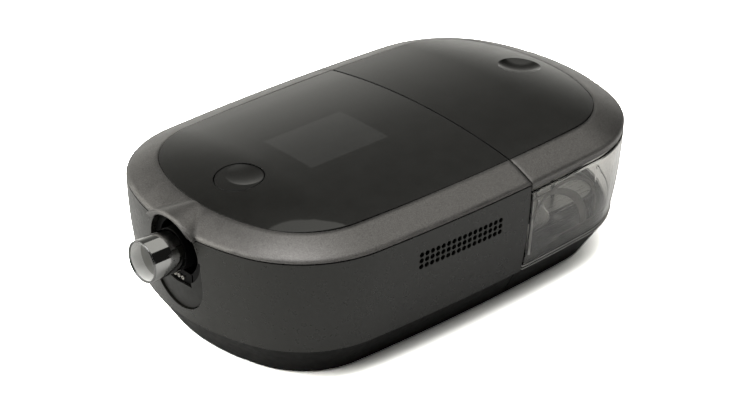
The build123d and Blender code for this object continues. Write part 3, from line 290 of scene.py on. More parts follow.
@dataclass(frozen=True)
class Moulded:
    """Plain moulded plastic or rubber with a fine spark-eroded grain."""

    name: str
    colour: Colour
    rough: float = 0.5
    grain_mm: float = 0.35
    depth_mm: float = 0.02
    mottle: float = 0.08
    specular: float = 0.5
    soft_mm: float = 0.3

    def material(self) -> bpy.types.Material:
        """Build the finish.

        Returns:
            Its material.
        """
        board = Board(self.name, self.soft_mm)
        low, high = shade(self.colour, 1 - self.mottle), shade(self.colour, 1 + self.mottle)
        board.colour(board.tint(board.noise(18.0, 3.0), low, high))
        board.roughness(board.spread(board.noise(4.0, 4.0), self.rough - 0.05, self.rough + 0.05))
        board.bump(board.noise(self.grain_mm, 3.0), self.depth_mm)
        board.set(Specular_IOR_Level=self.specular)
        return board.material


@dataclass(frozen=True)
class FlakePaint:
    """Satin paint with fine metal flakes, darkened with painted shade in narrow gaps."""

    name: str
    colour: Colour
    metallic: float = 0.85
    rough: float = 0.46
    flake_mm: float = 0.22
    sparkle: float = 0.5
    soft_mm: float = 3.0
    shade_gap_mm: float = 1.5

    def material(self) -> bpy.types.Material:
        """Build the finish.

        Returns:
            Its material.
        """
        board = Board(self.name, self.soft_mm)
        split = board.add("ShaderNodeSeparateColor")
        board.join(board.cells(self.flake_mm).outputs["Color"], split.inputs["Color"])
        low, high = shade(self.colour, 1 - self.sparkle / 2), shade(self.colour, 1 + self.sparkle)
        board.colour(board.tint(split.outputs["Red"], low, high))
        board.roughness(board.spread(board.noise(6.0, 3.0), self.rough - 0.04, self.rough + 0.04))
        board.bump(split.outputs["Green"], 0.012, 0.5)
        board.set(Metallic=self.metallic)
        # Painted shade: the colour darkens in narrow gaps.
        board.fade(board.painted_gap_shade(self.shade_gap_mm))
        return board.material


@dataclass(frozen=True)
class Gloss:
    """Deep glossy plastic under a clear coat, with a faint waviness, and with painted shade in narrow
    gaps and along sharp edges, where the coat thins too.
    """

    name: str
    colour: Colour
    rough: float = 0.22
    coat: float = 0.9
    coat_rough: float = 0.02
    specular: float = 0.26
    wave_mm: float = 12.0
    soft_mm: float = 0.5
    shade_gap_mm: float = 1.5
    edge_shade_mm: float = 1.1

    def board(self) -> Board:
        """Lay out the finish.

        Returns:
            The board with its nodes.
        """
        board = Board(self.name, self.soft_mm)
        board.colour(board.tint(board.noise(25.0), shade(self.colour, 0.9), shade(self.colour, 1.1)))
        board.roughness(board.spread(board.noise(9.0, 5.0), self.rough - 0.03, self.rough + 0.05))
        board.bump(board.noise(self.wave_mm, 0.0), 0.01, 0.4)
        board.set(Coat_Roughness=self.coat_rough, Specular_IOR_Level=self.specular)
        # Painted shade: gaps and sharp edges darken the colour and thin the coat, as a painted shadow
        # line.
        share = board.maths("MINIMUM", board.painted_gap_shade(self.shade_gap_mm), board.rim(self.edge_shade_mm))
        board.fade(share)
        board.join(board.maths("MULTIPLY", share, self.coat), board.shader.inputs["Coat Weight"])
        return board

    def material(self) -> bpy.types.Material:
        """Build the finish as a material."""
        return self.board().material


@dataclass(frozen=True)
class WindowGloss(Gloss):
    """The same gloss, with the dark display glowing faintly through a rectangle."""

    window: Colour = (0.026, 0.026, 0.025)
    centre_mm: tuple[float, float] = (-27.5, 1.2)
    size_mm: tuple[float, float] = (51.5, 38.0)
    edge_mm: float = 0.4

    def material(self) -> bpy.types.Material:
        """Build the finish.

        Returns:
            Its material.
        """
        board = self.board()
        split = board.add("ShaderNodeSeparateXYZ")
        board.join(board.place_mm, split.inputs[0])
        inside: Socket | None = None
        for axis, centre, size in zip("XY", self.centre_mm, self.size_mm):
            away = board.maths("ABSOLUTE", board.maths("SUBTRACT", split.outputs[axis], centre), 0.0)
            share = board.spread(away, 1.0, 0.0, size / 2 - self.edge_mm, size / 2)
            inside = share if inside is None else board.maths("MULTIPLY", inside, share)
        board.colour(board.tint(inside, board.base(), self.window))
        return board.material


@dataclass(frozen=True)
class Metal:
    """Bare or plated metal, with turning or brushing marks along one direction."""

    name: str
    colour: Colour
    rough: float = 0.2
    mark_mm: tuple[float, float, float] = (0.4, 0.4, 0.4)
    depth_mm: float = 0.004
    soft_mm: float = 0.0

    def material(self) -> bpy.types.Material:
        """Build the finish.

        Returns:
            Its material.
        """
        board = Board(self.name, self.soft_mm)
        stretch = board.add("ShaderNodeMapping")
        stretch.inputs["Scale"].default_value = tuple(1 / m for m in self.mark_mm)
        board.join(board.place_mm, stretch.inputs["Vector"])
        marks = board.noise(1.0, 3.0, stretch.outputs["Vector"])
        low, high = shade(self.colour, 0.92), shade(self.colour, 1.05)
        board.colour(board.tint(board.noise(8.0, 3.0), low, high))
        board.roughness(board.spread(marks, self.rough * 0.8, self.rough * 1.25))
        board.bump(marks, self.depth_mm)
        board.set(Metallic=1.0)
        return board.material


@dataclass(frozen=True)
class Clear:
    """Clear or smoky moulded plastic."""

    name: str
    colour: Colour
    rough: float = 0.05
    ior: float = 1.45
    weight: float = 1.0
    soft_mm: float = 0.5

    def material(self) -> bpy.types.Material:
        """Build the finish.

        Returns:
            Its material.
        """
        board = Board(self.name, self.soft_mm)
        board.colour(board.tint(board.noise(30.0), shade(self.colour, 0.97), self.colour))
        board.roughness(board.spread(board.noise(10.0, 4.0), self.rough * 0.7, self.rough * 1.4))
        board.bump(board.noise(20.0, 1.0), 0.01, 0.4)
        board.set(Transmission_Weight=self.weight, IOR=self.ior)
        return board.material


@dataclass(frozen=True)
class Fibre:
    """Open foam, filter fibre or fibre board, with painted shade in its pores."""

    name: str
    colour: Colour
    pore_mm: float = 1.2
    depth_mm: float = 0.5

    def material(self) -> bpy.types.Material:
        """Build the finish.

        Returns:
            Its material.
        """
        board = Board(self.name)
        distance = board.cells(self.pore_mm).outputs["Distance"]
        # Painted shade: the colour darkens where the bump sinks into a pore.
        board.colour(board.tint(distance, shade(self.colour, 0.55), self.colour))
        board.bump(distance, self.depth_mm)
        board.set(Roughness=0.9, Specular_IOR_Level=0.2)
        return board.material


FINISHES = {
    finish.name: finish
    for finish in (
        Moulded("wall_satin", (0.018, 0.0178, 0.0152), rough=0.3, specular=0.46),
        FlakePaint("bezel_metallic", (0.148, 0.143, 0.139), rough=0.36),
        Gloss("panel_gloss", (0.008, 0.0078, 0.0068)),
        Gloss("lid_gloss", (0.008, 0.0078, 0.0068), coat=0.5, coat_rough=0.2),
        WindowGloss("panel_window", (0.008, 0.0078, 0.0068)),
        Moulded("base_black", (0.0035, 0.0035, 0.0032), rough=0.5, specular=0.16),
        Moulded("recess_black", (0.002, 0.002, 0.002), rough=0.5, specular=0.08),
        Moulded("plate_grey", (0.016, 0.0158, 0.0145), rough=0.45, specular=0.3),
        Metal("outlet_chrome", (0.40, 0.40, 0.397), rough=0.07, mark_mm=(0.3, 8.0, 8.0)),
        Metal("outlet_rim", (0.22, 0.22, 0.22), rough=0.25),
        # Near white and grey of the bore: painted light near its open end, painted shade deeper in.
        Moulded("outlet_mouth", (0.95, 0.95, 0.94), rough=0.3, grain_mm=0.8, depth_mm=0.01),
        Moulded("outlet_lining", (0.55, 0.55, 0.54), rough=0.25, grain_mm=0.8, depth_mm=0.01),
        Clear("clear_tank", (0.93, 0.92, 0.90), rough=0.015),
        Clear("clear_duct", (0.86, 0.85, 0.83), rough=0.12),
        Clear("clear_nose", (0.80, 0.79, 0.77), rough=0.12, weight=0.8),
        Clear("clear_bead", (0.93, 0.92, 0.90), rough=0.2, weight=0.5),
        Moulded("smoke_rib", (0.15, 0.143, 0.133), rough=0.45),
        Moulded("label_grey", (0.045, 0.043, 0.040), rough=0.5),
        Moulded("lip_grey", (0.12, 0.115, 0.105), rough=0.35),
        Gloss("button_gloss", (0.009, 0.0088, 0.008), rough=0.3, coat=0.4, coat_rough=0.2),
        Gloss("display_glass", (0.01, 0.011, 0.011), rough=0.06),
        Gloss("board_green", (0.02, 0.11, 0.055), rough=0.35, coat=0.2),
        Moulded("chip_black", (0.015, 0.015, 0.015), rough=0.45),
        Moulded("capacitor_sleeve", (0.03, 0.045, 0.11), rough=0.3),
        Metal("steel", (0.52, 0.52, 0.51), rough=0.25, soft_mm=0.15),
        Metal("contact_brass", (0.62, 0.60, 0.55), rough=0.3),
        Metal("heater_aluminium", (0.62, 0.62, 0.61), rough=0.3, mark_mm=(8.0, 0.3, 0.3)),
        Metal("copper_winding", (0.62, 0.25, 0.12), rough=0.3, mark_mm=(9.0, 9.0, 0.35)),
        Metal("magnet_grey", (0.3, 0.3, 0.31), rough=0.4),
        Moulded("silicone_grey", (0.22, 0.22, 0.22), rough=0.55, grain_mm=0.8),
        Moulded("rubber_black", (0.012, 0.012, 0.012), rough=0.8, grain_mm=0.6, depth_mm=0.05),
        Moulded("inner_white", (0.62, 0.62, 0.6), rough=0.4),
        Fibre("foam_grey", (0.12, 0.12, 0.12)),
        Fibre("filter_white", (0.75, 0.75, 0.72), pore_mm=0.6, depth_mm=0.25),
        Fibre("insulator_mica", (0.42, 0.36, 0.27), pore_mm=2.5, depth_mm=0.08),
    )
}


class Paintbox:
    """Builds each finish once and puts it on pieces."""

    def __init__(self) -> None:
        """Start with no material made."""
        self.made: dict[str, bpy.types.Material] = {}

    def get(self, name: str) -> bpy.types.Material:
        """Material of a finish, made at its first use.

        Args:
            name: Name of the finish.

        Returns:
            The material.
        """
        if name not in self.made:
            self.made[name] = FINISHES[name].material()
        return self.made[name]

    def put(self, piece: Mesh, *names: str) -> None:
        """Give a piece its finishes, one for each material index.

        Args:
            piece: The piece.
            *names: Names of the finishes.
        """
        piece.data.materials.clear()
        for name in names:
            piece.data.materials.append(self.get(name))


# ---- modelling ------------------------------------------------------------------------------
def clear_floor() -> None:
    """Leave edit mode and deselect everything."""
    if bpy.context.object and bpy.context.object.mode != "OBJECT":
        bpy.ops.object.mode_set(mode="OBJECT")
    bpy.ops.object.select_all(action="DESELECT")


def lone(piece: Mesh) -> Mesh:
    """Leave edit mode and make a piece the only one selected.

    Args:
        piece: The piece.

    Returns:
        The piece.
    """
    clear_floor()
    piece.select_set(True)
    bpy.context.view_layer.objects.active = piece
    return piece


def named(name: str) -> Mesh:
    """Name the primitive just added and fix its place, turn and size into its mesh.

    Args:
        name: Name of the piece.

    Returns:
        The piece.
    """
    piece = bpy.context.object
    piece.name = piece.data.name = name
    bpy.ops.object.transform_apply(location=True, rotation=True, scale=True)
    return piece


def start_picking(piece: Mesh, kind: str) -> None:
    """Deselect all of a piece in edit mode, for picking points or faces in object mode.

    Args:
        piece: Object to edit.
        kind: VERT or FACE.
    """
    lone(piece)
    bpy.ops.object.mode_set(mode="EDIT")
    bpy.ops.mesh.select_mode(type=kind)
    bpy.ops.mesh.select_all(action="DESELECT")
    bpy.ops.object.mode_set(mode="OBJECT")


def pick_faces(piece: Mesh, test: Test) -> None:
    """Select in edit mode the faces that pass a test.

    Args:
        piece: Object to edit.
        test: Takes the middle and the normal of a face.
    """
    start_picking(piece, "FACE")
    for face in piece.data.polygons:
        face.select = test(face.center, face.normal)
    bpy.ops.object.mode_set(mode="EDIT")


def pick_points(piece: Mesh, test: Callable[[Vector], bool]) -> None:
    """Select in edit mode the points that pass a test.

    Args:
        piece: Object to edit.
        test: Takes the place of a point.
    """
    start_picking(piece, "VERT")
    for point in piece.data.vertices:
        point.select = test(point.co)
    bpy.ops.object.mode_set(mode="EDIT")


def tidied(piece: Mesh, angle: float = 35.0) -> Mesh:
    """Merge doubles, turn the normals outwards and shade smooth up to an angle in degrees.

    Args:
        piece: The piece.
        angle: Steepest edge that is smoothed.

    Returns:
        The piece.
    """
    lone(piece)
    bpy.ops.object.mode_set(mode="EDIT")
    bpy.ops.mesh.select_all(action="SELECT")
    bpy.ops.mesh.remove_doubles(threshold=0.01 * MM)
    bpy.ops.mesh.normals_make_consistent(inside=False)
    bpy.ops.object.mode_set(mode="OBJECT")
    bpy.ops.object.shade_smooth_by_angle(angle=math.radians(angle))
    return piece


def turned(
    name: str, start: Vector, axis: Vector, stations: Sequence[tuple[float, float]], sides: int = 64
) -> Mesh:
    """Turned piece: a ring drawn out along its axis and resized at each station.

    Args:
        name: Name of the piece.
        start: Where the axis starts.
        axis: Unit direction of the axis.
        stations: Distance along the axis and radius of each ring, in millimetres.
        sides: Points round each ring.

    Returns:
        The piece, closed where the last station repeats the first or has hardly any radius.
    """
    clear_floor()
    place, radius = stations[0]
    bpy.ops.mesh.primitive_circle_add(
        vertices=sides,
        radius=radius * MM,
        location=start + axis * place * MM,
        rotation=axis.to_track_quat("Z", "Y").to_euler(),
    )
    piece = named(name)
    bpy.ops.object.mode_set(mode="EDIT")
    bpy.ops.mesh.select_mode(type="VERT")
    bpy.ops.mesh.select_all(action="SELECT")
    for (near, old), (far, new) in pairwise(stations):
        bpy.ops.mesh.extrude_region_move(TRANSFORM_OT_translate={"value": axis * (far - near) * MM})
        bpy.ops.transform.resize(value=(new / old,) * 3, center_override=start + axis * far * MM)
    return tidied(piece)


def bevelled_box(name: str, low: Vector, high: Vector, edge_mm: float) -> Mesh:
    """Box between two corners with all its edges bevelled.

    Args:
        name: Name of the piece.
        low: Lowest corner.
        high: Highest corner.
        edge_mm: Width of the bevel.

    Returns:
        The box.
    """
    clear_floor()
    bpy.ops.mesh.primitive_cube_add(size=1, location=(low + high) / 2, scale=high - low)
    piece = named(name)
    bpy.ops.object.mode_set(mode="EDIT")
    bpy.ops.mesh.select_all(action="SELECT")
    bpy.ops.mesh.bevel(offset=edge_mm * MM, segments=2, affect="EDGES")
    return tidied(piece)


def copied(piece: Mesh, name: str, shift: Vector) -> Mesh:
    """Copy of a piece with its own mesh, moved by a shift.

    Args:
        piece: Piece to copy.
        name: Name of the copy.
        shift: How far it moves.

    Returns:
        The copy.
    """
    twin = piece.copy()
    twin.data = piece.data.copy()
    twin.name = twin.data.name = name
    twin.data.transform(Matrix.Translation(shift))
    bpy.context.scene.collection.objects.link(twin)
    return twin


def repeated(first: Mesh, stem: str, boxes: Sequence[tuple[Vector, Vector]]) -> list[Mesh]:
    """Copy a piece to the place of every further solid.

    Args:
        first: Piece made at the first solid.
        stem: Start of the copies' names.
        boxes: Corners of the solids.

    Returns:
        The piece and its copies.
    """
    middles = [(low + high) / 2 for low, high in boxes]
    pieces = [first]
    for number, middle in enumerate(middles[1:], 2):
        pieces.append(copied(first, f"{stem}_{number}", middle - middles[0]))
    return pieces


def cut_out(piece: Mesh, tool: Mesh, operation: str = "DIFFERENCE") -> None:
    """Take a closed tool out of a piece, or keep only what is in both, and throw the tool away.

    Args:
        piece: Piece to cut.
        tool: Closed tool.
        operation: DIFFERENCE or INTERSECT.
    """
    lone(piece)
    change = piece.modifiers.new("cut", "BOOLEAN")
    change.operation, change.object, change.solver = operation, tool, "EXACT"
    bpy.ops.object.modifier_apply(modifier=change.name)
    bpy.data.objects.remove(tool)


def thicken(piece: Mesh, thickness_mm: float, side: float = -1.0) -> None:
    """Give a skin a thickness.

    Args:
        piece: The skin.
        thickness_mm: Its thickness.
        side: -1 for inwards, 1 for outwards.
    """
    lone(piece)
    change = piece.modifiers.new("wall", "SOLIDIFY")
    change.thickness, change.offset = thickness_mm * MM, side
    bpy.ops.object.modifier_apply(modifier=change.name)


def skin_of(node: str, name: str, low_z: float, high_z: float, test: Test) -> Mesh:
    """Skin taken from a copy of a CAD node, between two levels.

    Args:
        node: CAD node to copy.
        name: Name of the new piece.
        low_z: Lower level, in metres.
        high_z: Upper level, in metres.
        test: Says which faces stay.

    Returns:
        The skin, without thickness.
    """
    source = frame["nodes"][node]
    skin = bpy.data.objects.new(name, source.data.copy())
    skin.data.name = name
    bpy.context.scene.collection.objects.link(skin)
    tidied(skin)
    for level, keep_above in ((low_z, True), (high_z, False)):
        bpy.ops.object.mode_set(mode="EDIT")
        bpy.ops.mesh.select_all(action="SELECT")
        bpy.ops.mesh.bisect(
            plane_co=(0, 0, level),
            plane_no=(0, 0, 1),
            clear_inner=keep_above,
            clear_outer=not keep_above,
        )
        bpy.ops.object.mode_set(mode="OBJECT")
    pick_faces(skin, lambda middle, normal: not test(middle, normal))
    bpy.ops.mesh.delete(type="FACE")
    bpy.ops.object.mode_set(mode="OBJECT")
    return skin


def solid_boxes(node: str) -> list[tuple[Vector, Vector]]:
    """Lowest and highest corner of each separate solid of a CAD node.

    Args:
        node: The node.

    Returns:
        The corners, sorted by their place.
    """
    mesh = frame["nodes"][node].data
    leader: dict[tuple[float, ...], tuple[float, ...]] = {}

    def head(key: tuple[float, ...]) -> tuple[float, ...]:
        """Leading point of the group that a point is in.

        Args:
            key: The point.

        Returns:
            The leading point.
        """
        while leader.setdefault(key, key) != key:
            key = leader[key]
        return key

    keys = [tuple(round(v, 6) for v in point.co) for point in mesh.vertices]
    for face in mesh.polygons:
        for corner in face.vertices[1:]:
            leader[head(keys[corner])] = head(keys[face.vertices[0]])
    groups: dict[tuple[float, ...], list[tuple[float, ...]]] = {}
    for key in set(keys):
        groups.setdefault(head(key), []).append(key)
    ranges = [list(zip(*group)) for group in groups.values()]
    boxes = [(Vector(map(min, sides)), Vector(map(max, sides))) for sides in ranges]
    return sorted(boxes, key=lambda box: tuple(box[0]))


class Body(Enum):
    """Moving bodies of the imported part."""

    HOUSING = "housing"
    BUTTON = "button"
    DRAWER = "filter_drawer"
    TANK = "water_tank"
    LID = "tank_lid"


def place_piece(piece: Mesh, body: Body, slot: str, *stands_for: str) -> Mesh:
    """Put a finished piece on its body.

    Args:
        piece: The piece.
        body: Body it moves with.
        slot: Material slot of the record that its finish comes from; not used.
        *stands_for: CAD nodes it replaces.

    Returns:
        The piece.
    """
    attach(piece, body.value)
    if stands_for:
        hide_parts(*stands_for)
    LOG.info("%s: %d faces, on %s", piece.name, len(piece.data.polygons), body.value)
    return piece


# ---- sub-assemblies -------------------------------------------------------------------------
@dataclass
class CarriedNodes:
    """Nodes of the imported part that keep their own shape."""

    special: dict[str, str]

    def dress(self, paint: Paintbox) -> None:
        """Give every node the finish of its material slot, or its own special one.

        Args:
            paint: Finishes to take from.
        """
        for row in frame["record"]["subparts"]:
            node = row["node"]
            paint.put(frame["nodes"][node], self.special.get(node, row["material_slot"]))
        LOG.info("%d nodes dressed", len(frame["nodes"]))


def frame_pin_radius_mm() -> float:
    """Radius of the air outlet's mount."""
    mounts = frame["record"]["mounts"]
    return next(m["dims"]["r_mm"] for m in mounts if m["name"] == "air_outlet")


class TubeZone(Enum):
    """Finishes of the outlet tube's zones, in the order of its material slots."""

    OUTSIDE = "outlet_chrome"
    BORE_SHADE = "outlet_lining"
    LIP = "outlet_rim"
    # Outside of the tube deep in the recess: painted black as painted shade.
    COLLAR_PAINTED_SHADE = "recess_black"
    MOUTH_LIGHT = "outlet_mouth"


@dataclass
class AirOutlet:
    """Polished outlet tube with a rolled lip, and the bead round its cup."""

    lip_mm: float = 0.9
    wall_mm: float = 1.1
    flange_mm: float = 1.5
    seat_mm: float = 3.4
    seat_out_mm: float = 0.6
    bead_mm: float = 0.5
    bead_out_mm: float = 1.6
    bead_ring_mm: float = 4.8
    bead_sides: int = 8
    polished_mm: float = 18.5
    mouth_mm: float = 7.0
    collar_mm: float = 0.25
    collar_slack_mm: float = 0.1
    nearly: float = 0.9

    def build(self) -> None:
        """Turn the tube and the bead."""
        low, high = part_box("outlet_tube")
        axis, middle = Vector((-1, 0, 0)), (Vector(low) + Vector(high)) / 2
        start = Vector((high[0], middle.y, middle.z))
        length, flange = (high[0] - low[0]) / MM, (high[2] - low[2]) / MM / 2
        radius = frame_pin_radius_mm()
        seat, bore = radius + self.seat_out_mm, radius - self.wall_mm
        lip, collar = self.lip_mm, radius + self.collar_mm
        stations = (
            (0, bore), (0, flange), (self.flange_mm, flange), (self.flange_mm, seat),
            (self.seat_mm, seat), (self.seat_mm, collar), (length - self.polished_mm, collar),
            (length - self.polished_mm, radius), (length - lip, radius),
            (length - lip / 3, radius - lip / 10), (length, radius - self.wall_mm / 3),
            (length, bore + self.wall_mm / 3), (length - lip / 3, bore + lip / 10),
            (length - lip, bore), (length - self.mouth_mm, bore), (length / 2, bore), (0, bore),
        )
        self.tube = turned("outlet_tube_polished", start, axis, stations, 96)
        place_piece(self.tube, Body.HOUSING, "outlet_chrome", "outlet_tube")
        cup_low, cup_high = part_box("outlet_cup")
        bead_x = cup_low[0] + self.bead_out_mm * MM
        ring, half = radius + self.bead_ring_mm, self.bead_mm
        angles = [step * math.tau / self.bead_sides for step in range(self.bead_sides + 1)]
        loop = [(half * math.sin(angle), ring + half * math.cos(angle)) for angle in angles]
        self.bead = turned("outlet_cup_bead", Vector((bead_x, middle.y, middle.z)), axis, loop, 72)
        place_piece(self.bead, Body.HOUSING, "recess_black")

    def dress(self, paint: Paintbox) -> None:
        """Polish the outside, paint the bore near white by its open end as painted light and grey
        deeper in as painted shade, paint the outside beyond the polished length black as painted
        shade of the recess, and leave the lip darker.

        Args:
            paint: Finishes to take from.
        """
        paint.put(self.tube, *(zone.value for zone in TubeZone))
        zones = list(TubeZone)
        low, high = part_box("outlet_tube")
        end = Vector((low[0], 0, (low[2] + high[2]) / 2))
        bore_radius_mm = frame_pin_radius_mm() - self.wall_mm * self.nearly
        for face in self.tube.data.polygons:
            face.material_index = zones.index(self.zone((face.center - end) / MM, bore_radius_mm))
        paint.put(self.bead, "recess_black")

    def zone(self, place_mm: Vector, bore_radius_mm: float) -> TubeZone:
        """Zone of the tube that a place on it is in.

        Args:
            place_mm: The place, from the middle of the tube's open end, in millimetres.
            bore_radius_mm: Radius inside which it belongs to the bore.

        Returns:
            The zone.
        """
        if place_mm.x < self.lip_mm * self.nearly:
            return TubeZone.LIP
        # The bore is painted near white near its open end as painted light and grey deeper in as
        # painted shade.
        if place_mm.yz.length < bore_radius_mm:
            return TubeZone.MOUTH_LIGHT if place_mm.x < self.mouth_mm else TubeZone.BORE_SHADE
        # Beyond the polished length the tube is painted black as the recess's painted shade.
        beyond = place_mm.x > self.polished_mm - self.collar_slack_mm
        return TubeZone.COLLAR_PAINTED_SHADE if beyond else TubeZone.OUTSIDE


@dataclass
class TankFittings:
    """Clear and smoky mouldings seen inside the water tank."""

    nose_start: tuple[float, float, float] = (0.046, -0.0735, 0.0455)
    nose_axis: tuple[float, float, float] = (0.917, 0.0, -0.40)
    nose_flat: float = 0.4
    nose_wall_mm: float = 0.8
    nose_mm: tuple[tuple[float, float], ...] = (
        (-4, 14.0), (0, 11.4), (3, 9.0), (6, 6.9), (9, 5.2), (11.2, 4.2), (13.0, 3.1), (14.1, 1.7),
        (14.5, 0.05),
    )
    nose_back_mm: float = 2.0
    edge_in_mm: float = 2.4
    edge_round_mm: float = 0.4
    edge_z: float = 0.029
    edge_mm: tuple[float, float, float] = (1.6, 1.4, 34.0)
    wall_y: float = -0.081
    through: float = 0.014
    layer_mm: float = 0.4
    broad_rib: tuple[Circle, Circle] = ((46.5, 25.8, 37.5), (42.5, 24.8, 36.5))
    narrow_rib: tuple[Circle, Circle] = ((61.5, 36.8, 28.4), (61.1, 36.4, 27.0))
    rib_low_z: float = 0.0318
    rib_below: float = 0.004
    line_z: float = 0.0312
    line_mm: float = 0.6
    line_start: float = 0.0585
    label_low: tuple[float, float] = (0.0462, 0.0288)
    label_high: tuple[float, float] = (0.0620, 0.0330)
    label_round_mm: float = 0.1
    above_all: float = 0.1
    bead_levels: tuple[float, ...] = (0.0212, 0.0230)
    bead_mm: float = 0.45
    bead_start_x: float = 0.033
    bead_middle_x: float = 0.06

    def disc(self, circle: Circle) -> Mesh:
        """Disc that reaches through the near wall.

        Args:
            circle: Circle of its rim, seen along Y.

        Returns:
            The disc.
        """
        middle_x, middle_z, radius = circle
        clear_floor()
        bpy.ops.mesh.primitive_cylinder_add(
            vertices=160,
            radius=radius * MM,
            depth=self.through,
            location=(middle_x * MM, self.wall_y, middle_z * MM),
            rotation=(math.pi / 2, 0, 0),
        )
        return named("disc_tool")

    def layer(self, name: str, low_z: float, high_z: float) -> Mesh:
        """Thin layer inside the near wall.

        Args:
            name: Name of the piece.
            low_z: Its lower level.
            high_z: Its upper level.

        Returns:
            The layer.
        """
        skin = skin_of("tank_bucket", name, low_z, high_z, self.inside_near)
        thicken(skin, self.layer_mm, 1.0)
        bpy.ops.object.mode_set(mode="EDIT")
        bpy.ops.mesh.select_all(action="SELECT")
        bpy.ops.transform.translate(value=(0, self.layer_mm * MM / 2, 0))
        bpy.ops.object.mode_set(mode="OBJECT")
        return place_piece(skin, Body.TANK, "clear_tank")

    def inside_near(self, middle: Vector, normal: Vector) -> bool:
        """Whether a face is on the inside of the near wall."""
        return normal.y > 0.3 and middle.y < self.wall_y / 2

    def bead_face(self, middle: Vector, normal: Vector) -> bool:
        """Whether a face is on the outside of the wall, where a foot bead runs.

        Args:
            middle: Middle of the face.
            normal: Its normal.

        Returns:
            Whether it is.
        """
        outwards = normal.xy.dot(middle.xy - Vector((self.bead_middle_x, 0))) > 0
        return normal.z < 0.5 and middle.x > self.bead_start_x and outwards

    def rib(self, name: str, circles: tuple[Circle, Circle]) -> Mesh:
        """Curved rib inside the near wall.

        Args:
            name: Name of the piece.
            circles: Circles of its outer and its inner edge.

        Returns:
            The rib.
        """
        outer, inner = circles
        piece = self.layer(name, self.rib_low_z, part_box("tank_bucket")[1][2] - self.rib_below)
        cut_out(piece, self.disc(outer), "INTERSECT")
        cut_out(piece, self.disc(inner))
        return tidied(piece)

    def build(self) -> None:
        """Model the clear nose, seam edge, ribs, fill line, bare label plate and foot beads."""
        low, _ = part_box("tank_bucket")
        start, axis = Vector(self.nose_start), Vector(self.nose_axis)
        self.nose = turned("tank_clear_nose", start, axis, self.nose_mm, 64)
        bpy.ops.object.mode_set(mode="EDIT")
        bpy.ops.mesh.select_all(action="SELECT")
        bpy.ops.transform.resize(value=(1, self.nose_flat, 1), center_override=start)
        back = (low[0] + self.nose_back_mm * MM, 0, 0)
        bpy.ops.mesh.bisect(plane_co=back, plane_no=(-1, 0, 0), clear_outer=True)
        thicken(lone(self.nose), self.nose_wall_mm)
        tidied(self.nose)
        place_piece(self.nose, Body.TANK, "clear_duct")
        self.ribs = [
            self.rib("tank_rib_broad", self.broad_rib),
            self.rib("tank_rib_narrow", self.narrow_rib),
        ]
        wide, deep, tall = self.edge_mm
        corner = Vector((low[0] + self.edge_in_mm * MM, self.wall_y - deep * MM / 2, self.edge_z))
        far = corner + Vector((wide, deep, tall)) * MM
        self.edge = bevelled_box("tank_seam_edge", corner, far, self.edge_round_mm)
        place_piece(self.edge, Body.TANK, "clear_tank")
        half = self.line_mm * MM / 2
        self.line = self.layer("tank_fill_line", self.line_z - half, self.line_z + half)
        pick_faces(self.line, lambda middle, normal: middle.x < self.line_start)
        bpy.ops.mesh.delete(type="FACE")
        tidied(self.line)
        (left, bottom), (right, top) = self.label_low, self.label_high
        self.label = self.layer("tank_bare_label", bottom, top)
        near = Vector((left, self.wall_y - self.through, 0))
        back = Vector((right, self.wall_y + self.through, self.above_all))
        cut_out(self.label, bevelled_box("label_tool", near, back, self.label_round_mm), "INTERSECT")
        tidied(self.label)
        self.beads = []
        for number, level in enumerate(self.bead_levels, 1):
            name = f"tank_foot_bead_{number}"
            wall = skin_of("tank_bucket", name, level - half, level + half, self.bead_face)
            thicken(wall, self.bead_mm, 1.0)
            self.beads.append(place_piece(wall, Body.TANK, "clear_tank"))

    def dress(self, paint: Paintbox) -> None:
        """Give the mouldings their clear and smoky plastics.

        Args:
            paint: Finishes to take from.
        """
        paint.put(self.nose, "clear_nose")
        paint.put(self.label, "label_grey")
        for piece in (*self.ribs, self.line):
            paint.put(piece, "smoke_rib")
        for piece in (self.edge, *self.beads):
            paint.put(piece, "clear_bead")


class Drive(Enum):
    """Recess in a screw's head."""

    CROSS = "cross"
    HEX = "hex"


